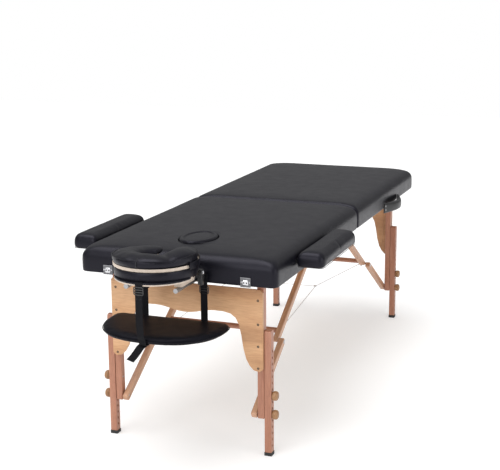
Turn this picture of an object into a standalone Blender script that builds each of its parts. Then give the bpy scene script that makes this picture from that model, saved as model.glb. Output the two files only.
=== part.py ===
"""Portable folding massage table, modelled as the pieces it is made of.

Units are metres and +Z is up. X runs across the table and Y along it, with the headrest at -Y.
Every shape is written with the tabletop's centre seam at Y = 0 and the floor at Z = 0.
The last step moves the whole table so that the middle of its footprint is at the origin.
"""

import math

import bmesh
import bpy
from mathutils import Vector

# Tabletop
TOP_WIDTH = 0.711
TOP_LENGTH = 1.925
TOP_Z = 0.720
UNDERSIDE_Z = 0.619
SEAM_GAP = 0.0014
COVER_THICKNESS = 0.0015
OUTER_CORNER_RADIUS = 0.018
SEAM_CORNER_RADIUS = 0.010
RAIL_THICKNESS = 0.0255
RAIL_TOP_Z = 0.6635
DECK_THICKNESS = 0.004
FIT_GAP = 0.0003
CUSHION_PROFILE = (
    (0.0117, 0.000, 0.000),
    (0.0257, 0.005, 0.003),
    (0.0357, 0.014, 0.007),
    (0.0422, 0.028, 0.013),
    (0.0462, 0.048, 0.022),
    (0.0502, 0.100, 0.050),
    (0.0517, 0.170, 0.100),
)

# Face opening and its plug
FACE_HOLE_Y = -0.765
FACE_HOLE_RADII = (0.065, 0.091)
FACE_LEDGE = 0.010
PLUG_GAP = 0.0015
PLUG_TOP_Z = 0.727

# Centre hinge, a continuous hinge under the seam
HINGE_Z = 0.6155
HINGE_HALF_LENGTH = 0.320
HINGE_KNUCKLES = 5
KNUCKLE_RADIUS = 0.0030
KNUCKLE_BORE = 0.0018
HINGE_PIN_RADIUS = 0.0015
KNUCKLE_GAP = 0.0005
LEAF_WIDTH = 0.024
LEAF_THICKNESS = 0.0015

# Legs: pivot, fixed post, sliding extension
LEG_Y = 0.866
LEG_PIVOT_Z = 0.645
POST_X = (0.257, 0.281)
POST_DEPTH = 0.026
POST_BOTTOM_Z = 0.1315
EXTENSION_X = (0.2824, 0.3066)
EXTENSION_TOP_Z = 0.446
EXTENSION_BOTTOM_Z = 0.004
FOOT_HEIGHT = 0.012
FOOT_WALL = 0.0012
HOLE_PITCH = 0.0225
HOLES_BELOW = 5
HOLES_ABOVE = 10
BOLT_RADIUS = 0.0040
BOLT_HOLE_RADIUS = 0.0048
LOWER_BOLT_Z = 0.148
BOLT_SPACING = 3 * HOLE_PITCH
KNOB_RADIUS = 0.0165
KNOB_X = (0.3070, 0.3275)
STUD_RADIUS = 0.0040
STUD_HOLE_RADIUS = 0.0046
STUD_SIDES = 12

# Arched end panel between each pair of posts
PANEL_THICKNESS = 0.010
PANEL_TOP_Z = 0.588
PANEL_CREST_Z = 0.503
PANEL_DIP_Z = 0.487
PANEL_CREST_X = 0.110
PANEL_LOBE_Z = 0.302
PANEL_CORNER_CUT = 0.010

# Folding braces
BRACE_PIVOT_Y = 0.070
BRACE_PIVOT_Z = 0.645
BRACE_WIDTH = 0.024
UPPER_BRACE_X = (0.212, 0.232)
LOWER_BRACE_X = (0.234, 0.254)
BRACE_END = 0.010
BRACE_END_CUT = (0.030, 0.017)
LOWER_BRACE_END = 0.017
CROSSBAR_FROM_ELBOW = 0.050
CROSSBAR_SIZE = 0.018

# Support cables
CABLE_RADIUS = 0.00125
CABLE_X = 0.2095
CABLE_END = (0.585, 0.3235)
CABLE_WAIST_X = 0.183
CABLE_WAIST_Z = 0.366
CABLE_SIDES = 8

# Headrest
ROD_X = 0.087
ROD_Z = 0.637
ROD_RADIUS = 0.008
ROD_HOLE_RADIUS = 0.0088
ROD_Y = (-1.155, -0.835)
BASE_CENTRE = (0.002, -1.124)
BASE_RADIUS = 0.129
BASE_HOLE_RADIUS = 0.060
BASE_Z = (0.6715, 0.6800)
BASE_REAR_Y = -1.030
CLEAT_WIDTH = 0.026
CLEAT_Y = (-1.135, -1.035)
SPACER_CENTRE = (-0.002, -1.108)
SPACER_RADIUS = 0.135
SPACER_HOLE_RADIUS = 0.058
SPACER_REAR_Y = -1.010
PLATFORM_CENTRE = (-0.006, -1.098)
PLATFORM_RADIUS = 0.138
PLATFORM_HOLE_RADIUS = 0.058
PLATFORM_Z = (0.7105, 0.7210)
PLATFORM_REAR_Y = -0.995
REST_CUSHION_CENTRE = (-0.004, -1.104)
REST_CUSHION_RADIUS = 0.143
REST_CUSHION_HOLE_RADIUS = 0.048
REST_CUSHION_TOP_Z = 0.770
THROAT_HALF = 0.038
LEVER_Y = -1.006
LEVER_Z = 0.664
LEVER_X = (0.1012, 0.1180)
LEVER_LENGTH = 0.042
LEVER_RADIUS = 0.012

# Arm shelf hanging under the headrest
SHELF_X = 0.001
SHELF_HALF_WIDTH = 0.211
SHELF_REAR_Y = -0.984
SHELF_FRONT_Y = -1.226
SHELF_Z = (0.4725, 0.4975)
SHELF_CORNER_RADIUS = 0.034
STRAP_WIDTH = 0.025
STRAP_THICKNESS = 0.002
REAR_STRAP_X = 0.108
REAR_STRAP_Y = -0.978
REAR_STRAP_TOP_Z = 0.652
REAR_STRAP_RUN_Y = -1.040
FRONT_STRAP_RUN_Y = -1.190
FRONT_STRAP_LAP = 0.009

# Armrests
ARMREST_X = (0.3575, 0.458)
ARMREST_Y = (-0.780, -0.368)
ARMREST_BOARD_Z = (0.647, 0.655)
ARMREST_TOP_Z = 0.705
ARMREST_CORNER_RADIUS = 0.022
ARMREST_INNER_RADIUS = 0.012
ARMREST_BOARD_INSET = 0.005
LEFT_PULLED_OUT = 0.037
PEG_Y = (-0.680, -0.500)
PEG_Z = 0.642
PEG_RADIUS = 0.006
PEG_HOLE_RADIUS = 0.0066
PEG_TIP_X = 0.3085
PEG_ROOT_X = 0.400

# Latches and carry handle
LATCH_X = 0.250
LATCH_WIDTH = 0.036
LATCH_Y = (-0.9678, -0.9645)
LATCH_Z = (0.616, 0.648)
HANDLE_Y = (0.410, 0.655)
HANDLE_Z = (0.602, 0.644)
HANDLE_BULGE = 0.040
HANDLE_THICKNESS = 0.007
HANDLE_SIDE_GAP = 0.002

ARC_STEPS = 6
ROUND_SIDES = 24
EDGE_BEVEL = 0.002
HALF_LENGTH = TOP_LENGTH / 2
HALF_WIDTH = TOP_WIDTH / 2
DECK_Z = (RAIL_TOP_Z + FIT_GAP, RAIL_TOP_Z + FIT_GAP + DECK_THICKNESS)
CUSHION_Z = (DECK_Z[1] + FIT_GAP, TOP_Z)
ENDS = {"head": -1, "foot": 1}
SIDES = {"left": -1, "right": 1}


def clear_scene():
    for obj in list(bpy.data.objects):
        bpy.data.objects.remove(obj, do_unlink=True)


def material(name, colour, roughness, metallic=0.0):
    made = bpy.data.materials.new(name)
    made.use_nodes = True
    shader = made.node_tree.nodes["Principled BSDF"]
    shader.inputs["Base Color"].default_value = (*colour, 1.0)
    shader.inputs["Roughness"].default_value = roughness
    shader.inputs["Metallic"].default_value = metallic
    made.diffuse_color = (*colour, 1.0)
    return made


clear_scene()
VINYL = material("black_vinyl", (0.022, 0.022, 0.026), 0.38)
BEECH = material("beech", (0.52, 0.31, 0.20), 0.45)
PALE_BEECH = material("pale_beech", (0.66, 0.45, 0.31), 0.45)
PANEL_PLY = material("panel_plywood", (0.50, 0.33, 0.19), 0.50)
DECK_PLY = material("deck_plywood", (0.55, 0.42, 0.28), 0.60)
EDGE_PLY = material("plate_plywood", (0.72, 0.58, 0.45), 0.50)
KNOB_WOOD = material("knob_wood", (0.60, 0.42, 0.20), 0.45)
RUBBER = material("black_rubber", (0.02, 0.02, 0.02), 0.75)
STEEL = material("steel", (0.62, 0.62, 0.62), 0.30, 1.0)
CHROME = material("chrome", (0.82, 0.82, 0.83), 0.12, 1.0)
ALUMINIUM = material("aluminium", (0.72, 0.72, 0.73), 0.35, 1.0)
BLACK_PLASTIC = material("black_plastic", (0.02, 0.02, 0.02), 0.40)
WEBBING = material("black_webbing", (0.015, 0.015, 0.018), 0.80)


def arc(centre, radius, start_deg, end_deg, steps=ARC_STEPS):
    """Points along a circular arc, both ends included."""
    angles = [math.radians(start_deg + (end_deg - start_deg) * i / steps) for i in range(steps + 1)]
    return [(centre[0] + radius * math.cos(a), centre[1] + radius * math.sin(a)) for a in angles]


def ellipse(centre, radii, sides):
    angles = [2 * math.pi * i / sides for i in range(sides)]
    return [(centre[0] + radii[0] * math.cos(a), centre[1] + radii[1] * math.sin(a)) for a in angles]


def rounded_rectangle(low, high, radii):
    """Outline with one corner radius for each of: low-low, high-low, high-high, low-high."""
    corners = (
        ((low[0], low[1]), (1, 1), 180, radii[0]),
        ((high[0], low[1]), (-1, 1), 270, radii[1]),
        ((high[0], high[1]), (-1, -1), 0, radii[2]),
        ((low[0], high[1]), (1, -1), 90, radii[3]),
    )
    points = []
    for corner, inward, start, radius in corners:
        centre = (corner[0] + inward[0] * radius, corner[1] + inward[1] * radius)
        points += arc(centre, radius, start, start + 90)
    return points


def to_space(axis, along, point):
    """A 2-D outline point placed at one height along the extrusion axis."""
    if axis == "X":
        return (along, point[0], point[1])
    if axis == "Y":
        return (point[0], along, point[1])
    return (point[0], point[1], along)


def finish(name, shape, look, pivot=(0, 0, 0), smooth=False, helper=False):
    """Turns a bmesh into a named object whose origin is its pivot."""
    bmesh.ops.recalc_face_normals(shape, faces=shape.faces)
    bmesh.ops.translate(shape, verts=shape.verts, vec=-Vector(pivot))
    mesh = bpy.data.meshes.new(name)
    shape.to_mesh(mesh)
    shape.free()
    if smooth:
        mesh.shade_smooth()
        mesh.set_sharp_from_angle(angle=math.radians(35))
    obj = bpy.data.objects.new(name, mesh)
    obj.location = pivot
    bpy.context.scene.collection.objects.link(obj)
    if helper:
        obj.hide_render = True
        obj.display_type = "WIRE"
    else:
        mesh.materials.append(look)
    return obj


def extrude(shape, outline, axis, low, high):
    """Adds a closed prism to the bmesh and returns its two end faces."""
    bottom = [shape.verts.new(to_space(axis, low, p)) for p in outline]
    top = [shape.verts.new(to_space(axis, high, p)) for p in outline]
    for i in range(len(outline)):
        j = (i + 1) % len(outline)
        shape.faces.new((bottom[i], bottom[j], top[j], top[i]))
    return shape.faces.new(bottom[::-1]), shape.faces.new(top)


def stack(shape, rings):
    """Adds a closed solid through outlines of equal point count, each at its own height."""
    levels = [[shape.verts.new((x, y, z)) for x, y in outline] for z, outline in rings]
    for lower, upper in zip(levels, levels[1:]):
        for i in range(len(lower)):
            j = (i + 1) % len(lower)
            shape.faces.new((lower[i], lower[j], upper[j], upper[i]))
    shape.faces.new(levels[0][::-1])
    shape.faces.new(levels[-1])


def prism(name, outline, axis, span, look, pivot=(0, 0, 0), smooth=False, helper=False):
    shape = bmesh.new()
    extrude(shape, outline, axis, *span)
    return finish(name, shape, look, pivot, smooth, helper)


def box(name, low, high, look, pivot=(0, 0, 0), helper=False):
    corners = [(low[0], low[1]), (high[0], low[1]), (high[0], high[1]), (low[0], high[1])]
    return prism(name, corners, "Z", (low[2], high[2]), look, pivot, helper=helper)


def rod(name, axis, centre, radius, span, look=None, sides=STUD_SIDES, pivot=(0, 0, 0)):
    """A straight round bar. With no look it is a helper for a Boolean."""
    outline = ellipse(centre, (radius, radius), sides)
    return prism(name, outline, axis, span, look, pivot, smooth=True, helper=look is None)


def combine(obj, helper, operation):
    modifier = obj.modifiers.new(f"{operation.lower()}_{helper.name}"[:60], "BOOLEAN")
    modifier.operation = operation
    modifier.object = helper
    modifier.solver = "EXACT"


def cut(obj, helper):
    combine(obj, helper, "DIFFERENCE")


def join(obj, helper):
    combine(obj, helper, "UNION")


def soften(obj, width=EDGE_BEVEL, segments=1):
    modifier = obj.modifiers.new("edge_bevel", "BEVEL")
    modifier.width = width
    modifier.segments = segments
    modifier.limit_method = "ANGLE"
    modifier.angle_limit = math.radians(40)


def ordered(a, b):
    return (min(a, b), max(a, b))


def half_outline(end, inset, seam_inset=None, rounding=0.0):
    """Plan outline of one half of the tabletop, inset all round, with rounder corners at its outer end."""
    seam = SEAM_GAP / 2 + (inset if seam_inset is None else seam_inset)
    outer = HALF_LENGTH - inset
    wide = HALF_WIDTH - inset
    big = max(OUTER_CORNER_RADIUS - inset, 0.004) + rounding
    small = max(SEAM_CORNER_RADIUS - inset, 0.002) + rounding / 2
    low_y, high_y = ordered(end * seam, end * outer)
    radii = (big, big, small, small) if end < 0 else (small, small, big, big)
    return rounded_rectangle((-wide, low_y), (wide, high_y), radii)


def make_frame(end_name, end):
    """Rail ring with pivot blocks for the legs and the braces."""
    name = f"{end_name}_frame"
    frame = prism(name, half_outline(end, COVER_THICKNESS), "Z", (UNDERSIDE_Z, RAIL_TOP_Z), PALE_BEECH)
    hollow = half_outline(end, COVER_THICKNESS + RAIL_THICKNESS)
    cut(frame, prism(f"cut_{name}_hollow", hollow, "Z", (UNDERSIDE_Z - 0.02, RAIL_TOP_Z + 0.02), None, helper=True))
    for side_name, side in SIDES.items():
        tag = f"{end_name}_{side_name}"
        rail_inside = HALF_WIDTH - COVER_THICKNESS - RAIL_THICKNESS
        leg_x = ordered(side * (EXTENSION_X[0] + 0.001), side * (rail_inside + 0.004))
        leg_y = ordered(end * (LEG_Y - 0.018), end * (LEG_Y + 0.018))
        low = (leg_x[0], leg_y[0], LEG_PIVOT_Z - 0.018)
        high = (leg_x[1], leg_y[1], RAIL_TOP_Z - 0.0008)
        join(frame, box(f"add_{tag}_leg_block", low, high, None, helper=True))
        brace_x = ordered(side * (UPPER_BRACE_X[1] + 0.0015), side * (UPPER_BRACE_X[1] + 0.028))
        brace_y = ordered(end * 0.020, end * (BRACE_PIVOT_Y + 0.016))
        low = (brace_x[0], brace_y[0], BRACE_PIVOT_Z - 0.014)
        high = (brace_x[1], brace_y[1], RAIL_TOP_Z - 0.0008)
        join(frame, box(f"add_{tag}_brace_block", low, high, None, helper=True))
        hole = (end * LEG_Y, LEG_PIVOT_Z)
        span = ordered(side * (EXTENSION_X[0] - 0.002), side * 0.312)
        cut(frame, rod(f"cut_{tag}_leg_hole", "X", hole, STUD_HOLE_RADIUS, span))
        hole = (end * BRACE_PIVOT_Y, BRACE_PIVOT_Z)
        span = ordered(side * 0.228, side * 0.266)
        cut(frame, rod(f"cut_{tag}_brace_hole", "X", hole, STUD_HOLE_RADIUS, span))
    if end < 0:
        bore_head_frame(frame)
    return frame


def bore_head_frame(frame):
    """Holes for the headrest rods in the end rail and for the armrest pegs in the side rails."""
    for side_name, side in SIDES.items():
        span = (-HALF_LENGTH - 0.01, -HALF_LENGTH + 0.05)
        cut(frame, rod(f"cut_{side_name}_rod", "Y", (side * ROD_X, ROD_Z), ROD_HOLE_RADIUS, span, sides=16))
        for number, y in enumerate(PEG_Y):
            span = ordered(side * 0.32, side * (HALF_WIDTH + 0.01))
            cut(frame, rod(f"cut_{side_name}_peg_{number}", "X", (y, PEG_Z), PEG_HOLE_RADIUS, span))


def make_deck(end_name, end):
    deck = prism(f"{end_name}_deck", half_outline(end, COVER_THICKNESS), "Z", DECK_Z, DECK_PLY)
    if end < 0:
        radii = (FACE_HOLE_RADII[0] - FACE_LEDGE, FACE_HOLE_RADII[1] - FACE_LEDGE)
        outline = ellipse((0, FACE_HOLE_Y), radii, ROUND_SIDES)
        cut(deck, prism("cut_deck_face_hole", outline, "Z", (DECK_Z[0] - 0.01, DECK_Z[1] + 0.01), None, helper=True))


def make_cushion(end_name, end):
    """Padded top of one half: straight sides, a rolled upper edge and a slight crown."""
    rings = [(CUSHION_Z[0], half_outline(end, 0))]
    for rise, inset, seam_inset in CUSHION_PROFILE:
        outline = half_outline(end, inset, seam_inset, 1.6 * min(inset, 0.04))
        rings.append((CUSHION_Z[0] + rise, outline))
    shape = bmesh.new()
    stack(shape, rings)
    cushion = finish(f"{end_name}_cushion", shape, VINYL, smooth=True)
    if end < 0:
        outline = ellipse((0, FACE_HOLE_Y), FACE_HOLE_RADII, 2 * ROUND_SIDES)
        span = (CUSHION_Z[0] - 0.01, TOP_Z + 0.02)
        cut(cushion, prism("cut_cushion_face_hole", outline, "Z", span, None, helper=True))


def make_plug():
    radii = (FACE_HOLE_RADII[0] - PLUG_GAP, FACE_HOLE_RADII[1] - PLUG_GAP)
    shape = bmesh.new()
    outline = ellipse((0, FACE_HOLE_Y), radii, 2 * ROUND_SIDES)
    _, top = extrude(shape, outline, "Z", CUSHION_Z[0], PLUG_TOP_Z)
    bmesh.ops.bevel(shape, geom=list(top.edges), offset=0.006, segments=2, profile=0.5, affect="EDGES")
    finish("face_hole_plug", shape, VINYL, pivot=(0, FACE_HOLE_Y, CUSHION_Z[0]), smooth=True)


def make_hinge():
    """Continuous hinge: two leaves with alternate knuckles round one pin."""
    pitch = 2 * HINGE_HALF_LENGTH / HINGE_KNUCKLES
    leaf_z = (UNDERSIDE_Z - FIT_GAP - LEAF_THICKNESS, UNDERSIDE_Z - FIT_GAP)
    for end_name, end in ENDS.items():
        name = f"hinge_leaf_{end_name}"
        clear = KNUCKLE_RADIUS + KNUCKLE_GAP
        y = ordered(end * clear, end * (clear + LEAF_WIDTH))
        leaf = box(name, (-HINGE_HALF_LENGTH, y[0], leaf_z[0]), (HINGE_HALF_LENGTH, y[1], leaf_z[1]), STEEL)
        for number in range(HINGE_KNUCKLES):
            if (number % 2 == 0) != (end < 0):
                continue
            low = -HINGE_HALF_LENGTH + number * pitch + KNUCKLE_GAP / 2
            span = (low, low + pitch - KNUCKLE_GAP)
            join(leaf, rod(f"add_{name}_knuckle_{number}", "X", (0, HINGE_Z), KNUCKLE_RADIUS, span))
            tab_y = ordered(end * 0.0005, end * (clear + 0.002))
            low_corner = (span[0], tab_y[0], leaf_z[0] + 0.0001)
            high_corner = (span[1], tab_y[1], leaf_z[1] - 0.0001)
            join(leaf, box(f"add_{name}_tab_{number}", low_corner, high_corner, None, helper=True))
        span = (-HINGE_HALF_LENGTH - 0.01, HINGE_HALF_LENGTH + 0.01)
        cut(leaf, rod(f"cut_{name}_bore", "X", (0, HINGE_Z), KNUCKLE_BORE, span))
    span = (-HINGE_HALF_LENGTH, HINGE_HALF_LENGTH)
    rod("hinge_pin", "X", (0, HINGE_Z), HINGE_PIN_RADIUS, span, STEEL, pivot=(0, 0, HINGE_Z))


def make_post(tag, end, side):
    """Fixed upper leg: round top, pivot stud, two bolt holes."""
    half = POST_DEPTH / 2
    y = end * LEG_Y
    outline = [(y - half, POST_BOTTOM_Z), (y + half, POST_BOTTOM_Z)] + arc((y, LEG_PIVOT_Z), half, 0, 180)
    span = ordered(side * POST_X[0], side * POST_X[1])
    post = prism(f"leg_post_{tag}", outline, "X", span, BEECH, pivot=(0, y, LEG_PIVOT_Z))
    soften(post)
    stud = ordered(side * (POST_X[1] - 0.006), side * 0.302)
    join(post, rod(f"add_{tag}_stud", "X", (y, LEG_PIVOT_Z), STUD_RADIUS, stud))
    hole_span = (span[0] - 0.01, span[1] + 0.01)
    for number in range(2):
        centre = (y, LOWER_BOLT_Z + number * BOLT_SPACING)
        cut(post, rod(f"cut_{tag}_post_bolt_{number}", "X", centre, BOLT_HOLE_RADIUS, hole_span))


def make_extension(tag, end, side):
    """Sliding lower leg with a row of bolt holes and a rubber foot."""
    half = POST_DEPTH / 2
    y = end * LEG_Y
    x = ordered(side * EXTENSION_X[0], side * EXTENSION_X[1])
    radii = (0.002, 0.002, 0.008, 0.008)
    outline = rounded_rectangle((y - half, EXTENSION_BOTTOM_Z), (y + half, EXTENSION_TOP_Z), radii)
    bar = prism(f"leg_extension_{tag}", outline, "X", x, BEECH, pivot=(0, y, EXTENSION_BOTTOM_Z))
    holes = bmesh.new()
    for number in range(-HOLES_BELOW, HOLES_ABOVE + 1):
        centre = (y, LOWER_BOLT_Z + number * HOLE_PITCH)
        hole = ellipse(centre, (BOLT_HOLE_RADIUS, BOLT_HOLE_RADIUS), STUD_SIDES)
        extrude(holes, hole, "X", x[0] - 0.01, x[1] + 0.01)
    cut(bar, finish(f"cut_{tag}_hole_row", holes, None, helper=True))
    low = (x[0] - FOOT_WALL, y - half - FOOT_WALL, 0)
    high = (x[1] + FOOT_WALL, y + half + FOOT_WALL, FOOT_HEIGHT)
    foot = box(f"rubber_foot_{tag}", low, high, RUBBER, pivot=(0, y, EXTENSION_BOTTOM_Z))
    low = (x[0] - FIT_GAP, y - half - FIT_GAP, EXTENSION_BOTTOM_Z - FIT_GAP)
    high = (x[1] + FIT_GAP, y + half + FIT_GAP, FOOT_HEIGHT + 0.01)
    cut(foot, box(f"cut_{tag}_foot_pocket", low, high, None, helper=True))


def make_knobs(tag, end, side):
    """Turned wooden knobs, each with the bolt that clamps the extension to the post."""
    y = end * LEG_Y
    for level, tip in (("lower", LOWER_BRACE_X[0] + 0.0005), ("upper", POST_X[0] + 0.0005)):
        z = LOWER_BOLT_Z + (BOLT_SPACING if level == "upper" else 0)
        shape = bmesh.new()
        outline = ellipse((y, z), (KNOB_RADIUS, KNOB_RADIUS), ROUND_SIDES)
        low, high = ordered(side * KNOB_X[0], side * KNOB_X[1])
        ends = extrude(shape, outline, "X", low, high)
        rims = list(ends[0].edges) + list(ends[1].edges)
        bmesh.ops.bevel(shape, geom=rims, offset=0.0035, segments=2, profile=0.5, affect="EDGES")
        knob = finish(f"knob_{level}_{tag}", shape, KNOB_WOOD, pivot=(side * KNOB_X[0], y, z), smooth=True)
        span = ordered(side * tip, side * (KNOB_X[0] + 0.008))
        join(knob, rod(f"add_{tag}_{level}_bolt", "X", (y, z), BOLT_RADIUS, span))


def panel_outline():
    """Arched panel: two lobes down the posts and a shallow dip in the middle of the arch."""
    post = POST_X[1]
    right = [(post, PANEL_TOP_Z - PANEL_CORNER_CUT), (post, PANEL_LOBE_Z + 0.010), (post - 0.012, PANEL_LOBE_Z)]
    right += [(0.248, 0.306), (0.234, 0.320), (0.221, 0.343), (0.211, 0.380), (0.204, 0.425)]
    right += [(0.196, 0.460), (0.184, 0.484), (0.166, 0.497), (0.140, 0.5025)]
    steps = 8
    right += [
        (PANEL_CREST_X * (1 - i / steps), PANEL_DIP_Z + (PANEL_CREST_Z - PANEL_DIP_Z) * wave(1 - i / steps))
        for i in range(steps)
    ]
    left = [(-x, z) for x, z in reversed(right)]
    top = [(-post + PANEL_CORNER_CUT, PANEL_TOP_Z), (post - PANEL_CORNER_CUT, PANEL_TOP_Z)]
    return right + [(0, PANEL_DIP_Z)] + left + top


def wave(share):
    """Rises smoothly from 0 to 1."""
    return 0.5 - 0.5 * math.cos(math.pi * share)


def make_panel(end_name, end):
    face = LEG_Y + POST_DEPTH / 2 + FIT_GAP
    span = ordered(end * face, end * (face + PANEL_THICKNESS))
    prism(f"end_panel_{end_name}", panel_outline(), "Y", span, PANEL_PLY, pivot=(0, end * LEG_Y, LEG_PIVOT_Z))


def brace_lengths():
    """Upper and lower lengths: end to end when the leg is down, and doubled back when it is folded."""
    drop = LEG_PIVOT_Z - LOWER_BOLT_Z
    opened = math.hypot(LEG_Y - BRACE_PIVOT_Y, BRACE_PIVOT_Z - LOWER_BOLT_Z)
    folded = math.hypot(LEG_Y - drop - BRACE_PIVOT_Y, BRACE_PIVOT_Z - LEG_PIVOT_Z)
    return (opened + folded) / 2, (opened - folded) / 2


def brace_frame(end):
    """Pivot point, elbow point, unit direction from pivot to leg bottom, and its normal, in the YZ plane."""
    pivot = Vector((end * BRACE_PIVOT_Y, BRACE_PIVOT_Z))
    bottom = Vector((end * LEG_Y, LOWER_BOLT_Z))
    along = (bottom - pivot).normalized()
    return pivot, bottom, along, Vector((-along.y, along.x))


def bar_outline(start, along, normal, low, high, half):
    """Rectangle with clipped corners round a line."""
    clip = 0.004
    stations = ((low, half - clip), (low + clip, half), (high - clip, half), (high, half - clip))
    upper = [start + along * s + normal * w for s, w in stations]
    lower = [start + along * s - normal * w for s, w in reversed(stations)]
    return [tuple(p) for p in upper + lower]


def make_braces(tag, end, side):
    upper, lower = brace_lengths()
    pivot, bottom, along, normal = brace_frame(end)
    half = BRACE_WIDTH / 2
    elbow = pivot + along * upper
    back = math.degrees(math.atan2(normal.y, normal.x))
    outline = arc(pivot, half, back, back + 180)
    under = -normal if normal.y > 0 else normal
    tip = elbow + along * BRACE_END
    cut_back, cut_up = BRACE_END_CUT
    lower_end = [elbow - along * cut_back + under * half, tip + under * (half - cut_up)]
    upper_end = tip - under * half
    first_is_under = (Vector(outline[-1]) - pivot).dot(under) > 0
    ends = lower_end + [upper_end] if first_is_under else [upper_end] + lower_end[::-1]
    outline += [tuple(p) for p in ends]
    span = ordered(side * UPPER_BRACE_X[0], side * UPPER_BRACE_X[1])
    brace = prism(f"upper_brace_{tag}", outline, "X", span, PALE_BEECH, pivot=(0, pivot.x, pivot.y))
    soften(brace)
    stud = ordered(side * (UPPER_BRACE_X[1] - 0.006), side * 0.254)
    join(brace, rod(f"add_{tag}_brace_stud", "X", tuple(pivot), STUD_RADIUS, stud))
    outline = bar_outline(bottom, -along, normal, -LOWER_BRACE_END, lower + BRACE_END, half)
    span = ordered(side * LOWER_BRACE_X[0], side * LOWER_BRACE_X[1])
    brace = prism(f"lower_brace_{tag}", outline, "X", span, PALE_BEECH, pivot=(0, bottom.x, bottom.y))
    soften(brace)
    hole = (span[0] - 0.01, span[1] + 0.01)
    cut(brace, rod(f"cut_{tag}_brace_bolt", "X", tuple(bottom), BOLT_HOLE_RADIUS, hole))


def crossbar_centre(end):
    upper, _ = brace_lengths()
    pivot, _, along, _ = brace_frame(end)
    return pivot + along * (upper - CROSSBAR_FROM_ELBOW)


def make_crossbar(end_name, end):
    """Bar that joins the two upper braces just above their elbows."""
    pivot, _, along, normal = brace_frame(end)
    centre = crossbar_centre(end)
    half = CROSSBAR_SIZE / 2
    outline = bar_outline(centre, along, normal, -half, half, half)
    inner = UPPER_BRACE_X[0] - FIT_GAP
    prism(f"crossbar_{end_name}", outline, "X", (-inner, inner), BEECH, pivot=(0, pivot.x, pivot.y))


def tube(name, points, radius, sides, look=None):
    """A round tube along straight legs between the given points, with flat caps."""
    shape = bmesh.new()
    rings = []
    for number, point in enumerate(points):
        before = points[max(number - 1, 0)]
        after = points[min(number + 1, len(points) - 1)]
        ahead = (after - before).normalized()
        across = ahead.cross(Vector((0, 0, 1))).normalized()
        upward = across.cross(ahead)
        ring = []
        for step in range(sides):
            angle = 2 * math.pi * step / sides
            ring.append(shape.verts.new(point + radius * (math.cos(angle) * across + math.sin(angle) * upward)))
        rings.append(ring)
    for first, second in zip(rings, rings[1:]):
        for i in range(sides):
            j = (i + 1) % sides
            shape.faces.new((first[i], first[j], second[j], second[i]))
    shape.faces.new(rings[0][::-1])
    shape.faces.new(rings[-1])
    return finish(name, shape, look, helper=look is None)


def make_cables():
    """Two side cables between the elbows, drawn together at the waist by a cross cable."""
    end_y, end_z = CABLE_END
    sides = []
    for side in (-1, 1):
        route = [
            Vector((side * CABLE_X, -end_y, end_z)),
            Vector((side * CABLE_WAIST_X, 0, CABLE_WAIST_Z)),
            Vector((side * CABLE_X, end_y, end_z)),
        ]
        sides.append(route)
    cable = tube("support_cable", sides[0], CABLE_RADIUS, CABLE_SIDES, STEEL)
    cross = [Vector((-CABLE_WAIST_X, 0, CABLE_WAIST_Z)), Vector((CABLE_WAIST_X, 0, CABLE_WAIST_Z))]
    join(cable, tube("add_cross_cable", cross, CABLE_RADIUS * 0.8, CABLE_SIDES))
    join(cable, tube("add_right_cable", sides[1], CABLE_RADIUS, CABLE_SIDES))


def horseshoe(centre, radius, hole_radius, rear_y, throat=THROAT_HALF, steps=24):
    """Plan outline of a ring that is open towards the table and cut off flat at the rear."""
    outer_end = math.degrees(math.asin((rear_y - centre[1]) / radius))
    inner_end = math.degrees(math.acos(throat / hole_radius))
    points = arc(centre, radius, 180 - outer_end, 360 + outer_end, steps)
    points.append((centre[0] + throat, rear_y))
    points += arc(centre, hole_radius, 360 + inner_end, 180 - inner_end, steps)
    points.append((centre[0] - throat, rear_y))
    return points


def make_headrest():
    outline = horseshoe(BASE_CENTRE, BASE_RADIUS, BASE_HOLE_RADIUS, BASE_REAR_Y)
    base = prism("headrest_base_plate", outline, "Z", BASE_Z, EDGE_PLY)
    for side_name, side in SIDES.items():
        half = CLEAT_WIDTH / 2
        low = (side * ROD_X - half, CLEAT_Y[0], ROD_Z + ROD_RADIUS + FIT_GAP)
        high = (side * ROD_X + half, CLEAT_Y[1], BASE_Z[0] + 0.002)
        join(base, box(f"add_{side_name}_cleat", low, high, None, helper=True))
        name = f"headrest_rod_{side_name}"
        rod(name, "Y", (side * ROD_X, ROD_Z), ROD_RADIUS, ROD_Y, ALUMINIUM, sides=16)
    outline = horseshoe(SPACER_CENTRE, SPACER_RADIUS, SPACER_HOLE_RADIUS, SPACER_REAR_Y)
    prism("headrest_spacer_pad", outline, "Z", (BASE_Z[1] + FIT_GAP, PLATFORM_Z[0] - FIT_GAP), VINYL)
    pivot = (0, PLATFORM_REAR_Y, PLATFORM_Z[0])
    outline = horseshoe(PLATFORM_CENTRE, PLATFORM_RADIUS, PLATFORM_HOLE_RADIUS, PLATFORM_REAR_Y)
    prism("headrest_platform", outline, "Z", PLATFORM_Z, EDGE_PLY, pivot)
    outline = horseshoe(REST_CUSHION_CENTRE, REST_CUSHION_RADIUS, REST_CUSHION_HOLE_RADIUS, PLATFORM_REAR_Y, 0.032)
    shape = bmesh.new()
    _, top = extrude(shape, outline, "Z", PLATFORM_Z[1] + FIT_GAP, REST_CUSHION_TOP_Z)
    bmesh.ops.bevel(shape, geom=list(top.edges), offset=0.010, segments=1, affect="EDGES")
    finish("headrest_cushion", shape, VINYL, pivot, smooth=True)


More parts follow.
